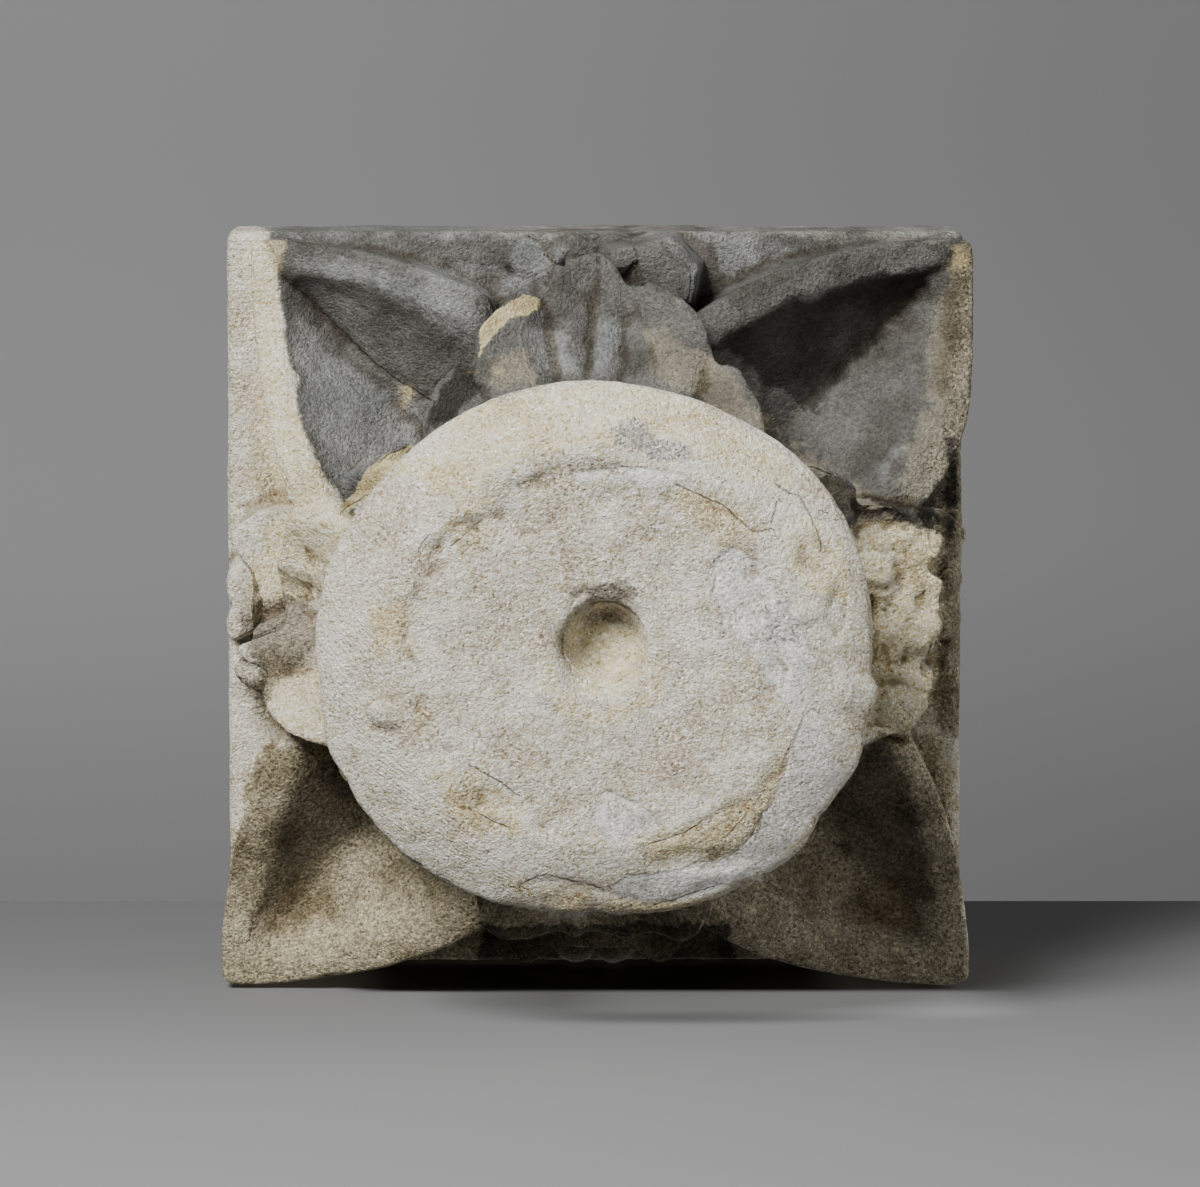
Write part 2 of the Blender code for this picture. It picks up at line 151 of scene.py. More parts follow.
# Wear of the whole block. Rain and frost have left every surface uneven, and taken the
# arrises back in small chips.
CHANCES = 4096
LATTICE = (73856093, 19349663, 83492791)
LATTICE_SHIFT = (10.0, 90.0)
FULL_HEIGHT = 1.6
ARRIS_REACH = 14
ARRIS_BULGE = (0.00012, 0.0008)
CHIPPED = (0.05, 0.7)
ARRIS_WEAR = 0.0003
CHIP_WEAR = 0.0016
ROLLING_WEAR = 0.0004
EVEN_WEAR = 0.0005
FINE_WEAR = 0.00022


def chance_row(cell):
    """The row of a random table that belongs to each cell of space."""
    mixed = cell[:, 0] * LATTICE[0] ^ cell[:, 1] * LATTICE[1] ^ cell[:, 2] * LATTICE[2]
    return mixed & (CHANCES - 1)


def noise(points, size, seed):
    """Smooth random relief, about -1 to 1, whose features are so wide."""
    chance = np.random.RandomState(seed)
    slopes = chance.normal(size=(CHANCES, 3))
    slopes /= np.linalg.norm(slopes, axis=1)[:, None]
    place = points / size + chance.uniform(*LATTICE_SHIFT, 3)
    corner = np.floor(place).astype(np.int64)
    inside = place - corner
    fade = inside ** 3 * (inside * (inside * 6.0 - 15.0) + 10.0)
    total = np.zeros(len(points))
    for step in np.ndindex(2, 2, 2):
        step = np.array(step)
        value = np.einsum("ij,ij->i", slopes[chance_row(corner + step)], inside - step)
        weight = np.prod(np.where(step == 1, fade, 1.0 - fade), axis=1)
        total += value * weight
    return total * FULL_HEIGHT


def layered_noise(points, size, layers, seed):
    """Relief on relief, each layer half as wide and half as high."""
    total = np.zeros(len(points))
    for k in range(layers):
        total += noise(points, size / 2 ** k, seed + k) / 2 ** k
    return total


def facets(points, size, seed):
    """Broken relief of small flat planes: a random tilt in each cell of the stone."""
    chance = np.random.RandomState(seed)
    jitter = chance.uniform(0.15, 0.85, (CHANCES, 3))
    tilt = chance.normal(size=(CHANCES, 3))
    level = chance.uniform(-1.0, 1.0, CHANCES)
    place = points / size + chance.uniform(*LATTICE_SHIFT, 3)
    corner = np.floor(place).astype(np.int64)
    nearest = np.full(len(points), 9.0)
    value = np.zeros(len(points))
    for step in np.ndindex(3, 3, 3):
        cell = corner + (np.array(step) - 1)
        pick = chance_row(cell)
        off = place - cell - jitter[pick]
        far = np.einsum("ij,ij->i", off, off)
        closer = far < nearest
        nearest = np.where(closer, far, nearest)
        here = level[pick] * 0.5 + np.einsum("ij,ij->i", off, tilt[pick]) * 0.6
        value = np.where(closer, here, value)
    return value


def ease(values, low, high):
    """0 below low, 1 above high, and smooth between."""
    t = np.clip((values - low) / (high - low), 0.0, 1.0)
    return t * t * (3.0 - 2.0 * t)


def fall(values, low, high):
    """1 below low, 0 above high, and smooth between."""
    return ease(-values, -high, -low)


def band(values, start, end):
    """1 between two limits that are each eased in, and 0 outside them."""
    return ease(values, *start) * fall(values, *end)


points = read_points(stone_mesh)
normals = read_normals(stone_mesh)
bulge = np.einsum("ij,ij->i", points - spread(points, edges, ARRIS_REACH), normals)
arris = ease(bulge, *ARRIS_BULGE)
chips = ease(layered_noise(points, 0.011, 2, 11), *CHIPPED)
sink = (ROLLING_WEAR * layered_noise(points, 0.030, 3, 1) + EVEN_WEAR
        + arris * (ARRIS_WEAR + CHIP_WEAR * chips)
        + FINE_WEAR * layered_noise(points, 0.006, 2, 5))
points = points - normals * sink[:, None]


def in_picture(points):
    """Where points show in the picture, in its pixels, x to the right and y down."""
    away = points - np.array(camera_place)
    depth = away @ np.array(camera_ahead)
    scale = CAMERA_LENS / SENSOR_WIDTH * PICTURE_WIDTH / depth
    return np.stack((PICTURE_WIDTH / 2 + away @ np.array(camera_right) * scale,
                     PICTURE_HEIGHT / 2 - away @ np.array(camera_up) * scale), axis=1)


def inside_outline(spots, outline):
    """Distance inside a closed outline, in pixels; below zero outside it."""
    corners = np.array(outline, dtype=float)
    ends = np.roll(corners, -1, axis=0)
    nearest = np.full(len(spots), 1e9)
    crossings = np.zeros(len(spots), dtype=int)
    for (x0, y0), (x1, y1) in zip(corners, ends):
        along = np.array((x1 - x0, y1 - y0))
        t = np.clip(((spots - (x0, y0)) @ along) / (along @ along), 0.0, 1.0)
        off = spots - (x0, y0) - t[:, None] * along
        nearest = np.minimum(nearest, np.hypot(off[:, 0], off[:, 1]))
        span = (y0 > spots[:, 1]) != (y1 > spots[:, 1])
        reach = (x1 - x0) * (spots[:, 1] - y0) / ((y1 - y0) if y1 != y0 else 1.0) + x0
        crossings += span & (spots[:, 0] < reach)
    return np.where(crossings % 2 == 1, nearest, -nearest)


def from_line(spots, line):
    """Distance from an open line, in pixels."""
    nearest = np.full(len(spots), 1e9)
    for (x0, y0), (x1, y1) in zip(line, line[1:]):
        along = np.array((x1 - x0, y1 - y0), dtype=float)
        t = np.clip(((spots - (x0, y0)) @ along) / (along @ along), 0.0, 1.0)
        off = spots - (x0, y0) - t[:, None] * along
        nearest = np.minimum(nearest, np.hypot(off[:, 0], off[:, 1]))
    return nearest


# Lower corner leaves. Their margins are worn into the fold, so the flat bands of the
# upper two hardly show there.
WORN_MARGINS = (
    ((222, 985), (216, 960), (232, 860), (262, 760), (300, 735), (360, 760), (470, 880),
     (480, 920), (420, 965), (340, 985)),
    ((960, 985), (964, 960), (950, 830), (925, 735), (880, 730), (840, 800), (720, 890),
     (715, 920), (780, 965), (850, 985)),
)
MARGIN_EDGE = (-4.0, 14.0)
MARGIN_HEIGHTS = ((0.070, 0.085), (0.170, 0.185))
MARGIN_SPREAD = 60
spots = in_picture(points)
worn = np.zeros(len(points))
for outline in WORN_MARGINS:
    worn = np.maximum(worn, ease(inside_outline(spots, outline), *MARGIN_EDGE))
worn *= band(points[:, 2], *MARGIN_HEIGHTS)
points = points + (spread(points, edges, MARGIN_SPREAD) - points) * worn[:, None]


# Necking and bed face. The flank is dressed, the bed is rough and lies a little in from
# its rim, and the dowel socket has a chipped mouth. Below the leaves the rim is uneven.
BED_RIM = 0.0655
BED_RECESS = 0.0009
NECKING_MIDDLE = (0.0009, 0.0005)
RIM_OFFSETS = ((0, 0.5), (5, 0.5), (8, 4.0), (15, 3.0), (24, 4.4), (32, 3.4), (37, 1.6),
               (43, 4.4), (52, 3.0), (64, 2.0), (74, -0.2), (91, -3.2), (98, -2.6), (109, -0.3),
               (118, 0.2), (127, 1.6), (136, 2.6), (142, 1.8), (147, 2.7), (152, 1.6), (159, 2.8),
               (166, 1.4), (177, 0.8), (198, 0.7), (207, -0.6), (220, -1.9), (246, -2.2),
               (271, -2.8), (286, -3.0), (300, -1.8), (312, 0.2), (322, 1.8), (334, 2.4),
               (346, 1.6))
COLLAR_TOP = (0.040, 0.049)
COLLAR_OUT = (0.070, 0.088)
RUFFLED_UP_TO = 190
RUFFLE = 0.0009
points = np.array(points)
flat = points[:, :2] - NECKING_MIDDLE
out = np.hypot(flat[:, 0], flat[:, 1])
bearing = np.degrees(np.arctan2(flat[:, 1], flat[:, 0])) % 360.0
table_angle = [a for a, _ in RIM_OFFSETS] + [360]
table_offset = [o / 1000 for _, o in RIM_OFFSETS] + [RIM_OFFSETS[0][1] / 1000]
collar = fall(points[:, 2], *COLLAR_TOP) * ease(out, *COLLAR_OUT)
offset = (np.interp(bearing, table_angle, table_offset)
          + RUFFLE * noise(points, 0.012, 30) * (bearing < RUFFLED_UP_TO)) * collar
points[:, :2] += flat / np.maximum(out, 1e-6)[:, None] * offset[:, None]

# The dowel socket. Its upper left wall is broken to a short slope, a shallow crater lies
# round its mouth, and its top flares unevenly.
SOCKET_MIDDLE = (0.0035, -0.0025)
SOCKET_RADIUS = 0.0148
SOCKET_ROOM = 0.03
BROKEN_TOWARD = (-0.51, -0.86)
BROKEN_EDGE = 0.0165
BROKEN_REACH = 0.0058
BROKEN_START = 0.0012
BROKEN_SLOPE = 0.45
CRATER_RADIUS = 0.0195
CRATER_DEPTH = 0.0030
FLARE = 0.0030


def from_socket(points):
    """Distance of points from the axis of the dowel socket."""
    return np.hypot(points[:, 0] - SOCKET_MIDDLE[0], points[:, 1] - SOCKET_MIDDLE[1])


from_edge = BROKEN_EDGE + (points[:, :2] - SOCKET_MIDDLE) @ -np.array(BROKEN_TOWARD)
steep = (from_socket(points) < SOCKET_RADIUS) & (from_edge < BROKEN_REACH)
limit = (BROKEN_START + BROKEN_SLOPE * np.maximum(from_edge, 0.0)
         + 0.0009 * layered_noise(points, 0.006, 2, 35))
cut_back = steep & (points[:, 2] < SOCKET_ROOM)
points[:, 2] = np.where(cut_back, np.minimum(points[:, 2], limit), points[:, 2])

uneven_rim = BED_RIM + 0.0050 * layered_noise(points, 0.020, 3, 31)
bed = ease(uneven_rim - out, -0.0010, 0.0022) * fall(points[:, 2], 0.006, 0.012)
rim_side = ease(-flat[:, 1] - flat[:, 0] * 0.35, -0.030, 0.020)
lift = bed * (BED_RECESS * (0.15 + 0.85 * rim_side)
              + 0.0009 * np.abs(layered_noise(points, 0.019, 3, 33))
              + 0.0005 * layered_noise(points, 0.006, 2, 36))
mouth = from_socket(points)
crater_edge = CRATER_RADIUS + 0.0035 * layered_noise(points, 0.012, 2, 37)
crater = ease(crater_edge - mouth, 0.0, 0.0075)
lift += crater * CRATER_DEPTH * fall(points[:, 2], 0.004, 0.010)
socket_top = ease(SOCKET_RADIUS - mouth, 0.0, 0.0015) * fall(points[:, 2], 0.001, 0.017)
socket_top = socket_top * ease(mouth, 0.006, 0.010)
flare = socket_top * (FLARE + 0.0020 * layered_noise(points, 0.008, 3, 34))
points[:, 0] += flare * (points[:, 0] - SOCKET_MIDDLE[0]) / np.maximum(mouth, 1e-5)
points[:, 1] += flare * (points[:, 1] - SOCKET_MIDDLE[1]) / np.maximum(mouth, 1e-5)
socket_wall = ease(0.0150 - mouth, 0.0, 0.002) * fall(points[:, 2], 0.024, 0.030)
wall_relief = 0.0010 + 0.0011 * layered_noise(points, 0.005, 2, 38)
lift -= socket_wall * wall_relief * ease(points[:, 2], 0.004, 0.010)

# Small forms of the necking, as seen from below: a pebble that stands proud, raised and
# sunken places, the smooth split on the lower right, and ledges along its edge.
FORMS = (
    ((385, 714), (20, 16), -0.0030), ((460, 512), (34, 9), -0.0010),
    ((520, 520), (40, 24), 0.0008), ((775, 700), (26, 60), 0.0012),
    ((815, 560), (26, 34), 0.0016), ((838, 610), (14, 40), 0.0016),
    ((700, 860), (70, 14), 0.0010), ((500, 800), (40, 18), 0.0010),
    ((430, 560), (22, 26), 0.0010), ((560, 690), (16, 12), 0.0008),
    ((640, 480), (60, 10), -0.0006), ((395, 625), (22, 30), 0.0008),
    ((598, 602), (36, 20), 0.0026), ((548, 694), (28, 12), -0.0008),
    ((470, 800), (26, 16), 0.0014), ((845, 690), (16, 30), -0.0012),
    ((806, 615), (20, 12), -0.0012), ((760, 590), (30, 40), 0.0006),
)
spots = in_picture(points)
low_part = fall(points[:, 2], 0.018, 0.030)


def from_middle(spots, middle, size):
    """Distance from the middle of an oval, 1 at its edge."""
    return np.hypot((spots[:, 0] - middle[0]) / size[0], (spots[:, 1] - middle[1]) / size[1])


torn = 0.25 * noise(points, 0.008, 39)
for middle, size, height in FORMS:
    near = from_middle(spots, middle, size) + torn
    lift += height * ease(1.0 - near, 0.0, 0.55) * low_part
LEDGES = (
    ((646, 846), (686, 833), (702, 821), (756, 800), (770, 780), (784, 766)),
    ((521, 886), (550, 881), (600, 891), (650, 905), (690, 894), (722, 884)),
    ((434, 548), (452, 545), (478, 523), (500, 515)),
    ((678, 485), (722, 505), (754, 531), (776, 528)),
    ((465, 808), (490, 822), (512, 828)),
)
LEDGE_HEIGHT = 0.0007
LEDGE_WIDTH = 5.0
wandering = spots + 4.0 * noise(points, 0.006, 40)[:, None]
for line in LEDGES:
    far = from_line(wandering, line)
    lift += LEDGE_HEIGHT * np.exp(-(far / LEDGE_WIDTH) ** 2) * low_part
points[:, 2] += np.maximum(lift, -points[:, 2])

# Breaks of the side leaves. The right leaf is lost to its root and the knobs behind the
# front leaf are worn flat; rough stone shows where the ends are gone.
LEVELLED = (
    (((850, 500), (870, 500), (936, 522), (940, 570), (948, 610), (946, 660), (936, 695),
      (905, 738), (862, 728), (856, 600)), (0.094, 0.30), (0.080, 0.135), 0.80),
    (((606, 246), (640, 236), (672, 228), (702, 262), (694, 304), (664, 302), (640, 290),
      (608, 286)), (0.162, 0.0), (0.130, 0.240), 0.96),
    (((498, 263), (520, 232), (568, 250), (548, 289)), (0.164, 0.0), (0.150, 0.180), 0.7),
    (((552, 250), (570, 232), (600, 231), (600, 248), (590, 262), (566, 262)), (0.182, 0.0),
     (0.162, 0.196), 0.8),
    (((226, 512), (296, 500), (302, 560), (296, 612), (226, 644)), (0.160, 0.0),
     (0.142, 0.190), 0.8),
)
LEVELLED_EASE = 0.004
LEVEL_FROM = 0.095
write_points(stone_mesh, points)
normals = read_normals(stone_mesh)
for outline, (level, slope), (low, high), share in LEVELLED:
    near = ease(inside_outline(spots, outline), -3.0, 5.0) * ease(-normals[:, 2], -0.25, 0.15)
    near *= band(points[:, 2], (low - LEVELLED_EASE, low), (high, high + LEVELLED_EASE))
    target = level + slope * (points[:, 0] - LEVEL_FROM if slope else 0.0)
    points[:, 2] += (target - points[:, 2]) * near * share

LUMPS = (
    ((872, 570), (20, 20), 0.0030), ((868, 608), (13, 19), -0.0045),
    ((908, 628), (36, 38), 0.0045), ((902, 652), (6, 13), -0.0020),
    ((936, 560), (9, 14), -0.0025), ((898, 708), (36, 28), 0.0030),
    ((880, 682), (30, 9), -0.0014), ((926, 536), (10, 24), 0.0026),
    ((890, 540), (24, 12), 0.0014), ((924, 662), (8, 20), -0.0018),
    ((862, 648), (10, 16), 0.0020),
)
BREAKS = (
    (((846, 500), (870, 496), (936, 518), (945, 600), (942, 690), (905, 738), (868, 724),
      (858, 660), (852, 560)), 1.0),
    (((286, 500), (345, 520), (345, 600), (318, 604), (297, 595), (253, 607), (238, 600),
      (240, 520)), 0.6),
    (((783, 434), (862, 492), (858, 520), (840, 520), (800, 470)), 0.5),
)
write_points(stone_mesh, points)
normals = spread(read_normals(stone_mesh), edges, 10)
normals /= np.maximum(np.linalg.norm(normals, axis=1), 0.2)[:, None]
lumps = np.zeros(len(points))
torn = 0.3 * noise(points, 0.008, 42)
for middle, size, height in LUMPS:
    lumps += height * ease(1.0 - (from_middle(spots, middle, size) + torn), 0.0, 0.6)
lumps *= band(points[:, 2], (0.080, 0.084), (0.130, 0.135))
points = points + normals * lumps[:, None]
broken = np.zeros(len(points))
torn = 8.0 * noise(points, 0.012, 41)
for outline, share in BREAKS:
    broken = np.maximum(broken, share * ease(inside_outline(spots, outline) + torn, -6.0, 8.0))
broken *= band(points[:, 2], (0.052, 0.060), (0.150, 0.190))
rough = (0.0009 * facets(points, 0.010, 43) + 0.0010 * layered_noise(points, 0.009, 3, 45)
         + 0.0005 * layered_noise(points, 0.0035, 2, 48) + 0.0003)
points = points - normals * (broken * rough)[:, None]

# Front leaf. Veins part its lobes, a rib stands along its middle, and the edge of the
# lobe beside it is chipped off.
VEINS = (
    (((600, 262), (594, 300), (590, 345), (588, 376)), 7.0, 0.0013),
    (((633, 287), (642, 320), (652, 350), (656, 376)), 7.0, 0.0013),
    (((543, 305), (552, 335), (560, 376)), 8.0, 0.0010),
    (((708, 350), (700, 385), (690, 410)), 7.0, 0.0008),
    (((612, 262), (610, 320), (609, 376)), 9.0, -0.0010),
)
EDGE_CHIP = ((476, 363), (478, 343), (484, 330), (497, 310), (509, 300), (525, 294), (542, 298),
             (542, 310), (525, 314), (509, 319), (497, 332), (488, 344), (482, 358))
CHIP_DEPTH = 0.0010


def grooves(spots, lines):
    """Depth of soft grooves along open lines, each with its width in pixels and its depth."""
    total = np.zeros(len(spots))
    for line, wide, depth in lines:
        total += depth * np.exp(-(from_line(spots, line) / wide) ** 2)
    return total


front_leaf = ease(-points[:, 1], 0.070, 0.078) * ease(points[:, 2], 0.047, 0.052)
front_leaf = front_leaf * fall(points[:, 2], 0.125, 0.150)
carve = grooves(spots, VEINS)
chip = ease(inside_outline(spots, EDGE_CHIP), -2.0, 4.0)
carve += chip * (CHIP_DEPTH + 0.0004 * noise(points, 0.004, 47))
points[:, 2] += carve * front_leaf * ease(-normals[:, 2], 0.1, 0.5)

# Creases of the upper corner leaves, where the blade folds over its hollow.
CREASES = (
    (((286, 279), (318, 309), (352, 341), (378, 366), (426, 398)), 4.0, 0.0013),
    (((300, 272), (352, 282), (420, 316), (458, 346)), 6.0, -0.0007),
    (((373, 262), (381, 294), (372, 318)), 3.0, -0.0006),
    (((426, 398), (436, 384), (462, 366), (474, 370)), 4.0, 0.0012),
    (((526, 236), (542, 243), (558, 251)), 3.0, 0.0012),
    (((596, 250), (599, 262)), 3.0, 0.0015),
    (((344, 505), (372, 486), (405, 449)), 4.0, 0.0008),
)
upper = ease(points[:, 2], 0.060, 0.066) * ease(-normals[:, 2], 0.1, 0.5)
points[:, 2] += grooves(spots, CREASES) * upper

# Right margin of the upper right corner leaf. It stands out as far as the abacus.
OUTWARD = 0.008
OUTWARD_MIDDLE = -0.060
OUTWARD_WIDTH = 0.040
OUTWARD_HEIGHTS = ((0.052, 0.070), (0.176, 0.196))
margin = ease(points[:, 0], 0.088, 0.118)
margin = margin * np.exp(-((points[:, 1] - OUTWARD_MIDDLE) / OUTWARD_WIDTH) ** 2)
margin *= band(points[:, 2], *OUTWARD_HEIGHTS)
points[:, 0] += OUTWARD * margin
points = np.clip(points, np.array(cad_low), np.array(cad_high))
write_points(stone_mesh, points)

# The finished block. Its mesh is thinned to the faces that its relief needs, and it is
# the whole capital in one piece.
stone = bpy.data.objects.new("sandstone_block", stone_mesh)
bpy.context.scene.collection.objects.link(stone)
FACES_KEPT = 190000
thin = stone.modifiers.new("thin", "DECIMATE")
stone_mesh.calc_loop_triangles()
thin.ratio = min(1.0, FACES_KEPT / len(stone_mesh.loop_triangles))
view = bpy.context.evaluated_depsgraph_get()
thin_mesh = bpy.data.meshes.new_from_object(stone.evaluated_get(view))
stone.modifiers.clear()
stone.data = thin_mesh
thin_mesh.name = "sandstone_block"
write_points(thin_mesh, np.clip(read_points(thin_mesh), np.array(cad_low), np.array(cad_high)))
for face in thin_mesh.polygons:
    face.use_smooth = True
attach(stone, "root")
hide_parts("capital")


# Crust and stains. Soot and rain have blackened the front of the block, lichen and iron
# have stained it, and pale stone shows where the crust is gone. Some of the outlines, the
# darkening of hollows and the crack lines also paint shade and light, as marked where they stand.
points = read_points(thin_mesh)
normals = read_normals(thin_mesh)
edges = read_edges(thin_mesh)
spots = in_picture(points)


def keep_attribute(name, values):
    layer = thin_mesh.attributes.new(name, "FLOAT", "POINT")
    layer.data.foreach_set("value", values.astype(np.float32))


# Concave places are darkened in the finish: partly grime lodged in them, partly painted shade where
# less light reaches them. The dowel socket gets only a share of it.
HOLLOW_REACH = 10
FULL_HOLLOW = 0.0006
SOCKET_EDGE = 0.019
SOCKET_DIRT_AND_SHADE = 0.3
hollow = np.einsum("ij,ij->i", spread(points, edges, HOLLOW_REACH) - points, normals)
in_socket = (from_socket(points) < SOCKET_EDGE) & (points[:, 2] < SOCKET_ROOM)
dirt_and_shade_in_hollows = np.clip(hollow / FULL_HOLLOW, -1.0, 1.0) * np.where(in_socket, SOCKET_DIRT_AND_SHADE, 1.0)
keep_attribute("hollow", dirt_and_shade_in_hollows)

# Outlines of crust, film, bare stone and stains as seen from below, in pixels. Those of
# the necking lie on the necking and bed face, the others on the block behind it. Some
# outlines paint light or shade instead, as marked at each.
NECKING_STAINS = {
    "film": (((707, 565), (735, 545), (764, 561), (781, 594), (797, 619), (811, 655), (811, 701),
              (797, 717), (781, 701), (764, 676), (752, 655), (727, 627)),
             ((811, 701), (830, 750), (846, 766), (830, 799), (805, 832), (772, 865), (735, 885),
              (699, 898), (653, 902), (625, 900), (600, 889), (625, 873), (674, 869), (723, 857),
              (744, 844), (764, 816), (781, 783), (797, 742)),
             ((556, 470), (610, 462), (690, 474), (700, 492), (640, 484), (570, 482)),
             ((600, 790), (640, 800), (660, 830), (620, 850), (590, 820))),
    "cream_and_painted_light": (((400, 470), (470, 405), (600, 380), (700, 402), (790, 460), (800, 490), (730, 480),
               (690, 450), (600, 446), (520, 455), (450, 500)),
              ((440, 528), (478, 492), (492, 498), (452, 540)),
              # Painted highlight: the lit lower rim of the crater round the dowel socket.
              ((548, 650), (562, 690), (600, 708), (650, 690), (655, 640), (665, 650), (660, 700),
               (610, 730), (560, 715), (530, 670)),
              ((800, 500), (840, 540), (850, 600), (800, 590), (780, 540)),
              # Painted light: it lifts the shaded inside of the dowel socket.
              ((568, 640), (600, 616), (640, 630), (652, 660), (632, 694), (598, 700), (570, 680))),
    "ochre": (((384, 602), (408, 600), (412, 630), (396, 654), (376, 650), (372, 620)),
              ((452, 540), (484, 520), (500, 526), (486, 552), (460, 560)),
              ((420, 690), (440, 700), (425, 730), (400, 745), (410, 715)),
              ((430, 770), (452, 775), (460, 810), (520, 826), (512, 842), (470, 832), (440, 800)),
              ((678, 482), (706, 492), (760, 526), (752, 534), (700, 512), (680, 496)),
              ((641, 846), (682, 834), (735, 809), (764, 785), (781, 764), (786, 768), (764, 800),
               (740, 830), (707, 848), (674, 856), (645, 854)),
              ((560, 888), (620, 904), (700, 900), (740, 884), (703, 908), (641, 914), (560, 906)),
              ((425, 470), (470, 455), (480, 470), (440, 500), (424, 520))),
    "slate": (((610, 424), (634, 416), (656, 430), (694, 446), (690, 466), (652, 462), (640, 452),
               (612, 450)),
              ((758, 604), (792, 596), (798, 640), (768, 648))),
    "khaki": (((440, 780), (470, 770), (520, 800), (520, 830), (470, 830)),
              ((372, 600), (410, 600), (420, 660), (380, 660)),
              ((641, 840), (735, 800), (784, 760), (776, 800), (740, 850), (700, 866), (645, 866)),
              ((500, 880), (560, 890), (700, 902), (764, 862), (750, 880), (703, 914), (560, 914)),
              ((660, 480), (700, 480), (770, 530), (740, 560), (690, 520))),
    "brown": (((700, 852), (735, 836), (765, 812), (786, 784), (778, 815), (745, 848),
               (705, 868)),),
    # Painted shade: the shaded upper wall of the dowel socket and a dark place on its floor.
    "tan_and_painted_shade": (((584, 588), (612, 580), (636, 590), (630, 602), (590, 606)),
            ((578, 646), (594, 644), (598, 660), (582, 664))),
}
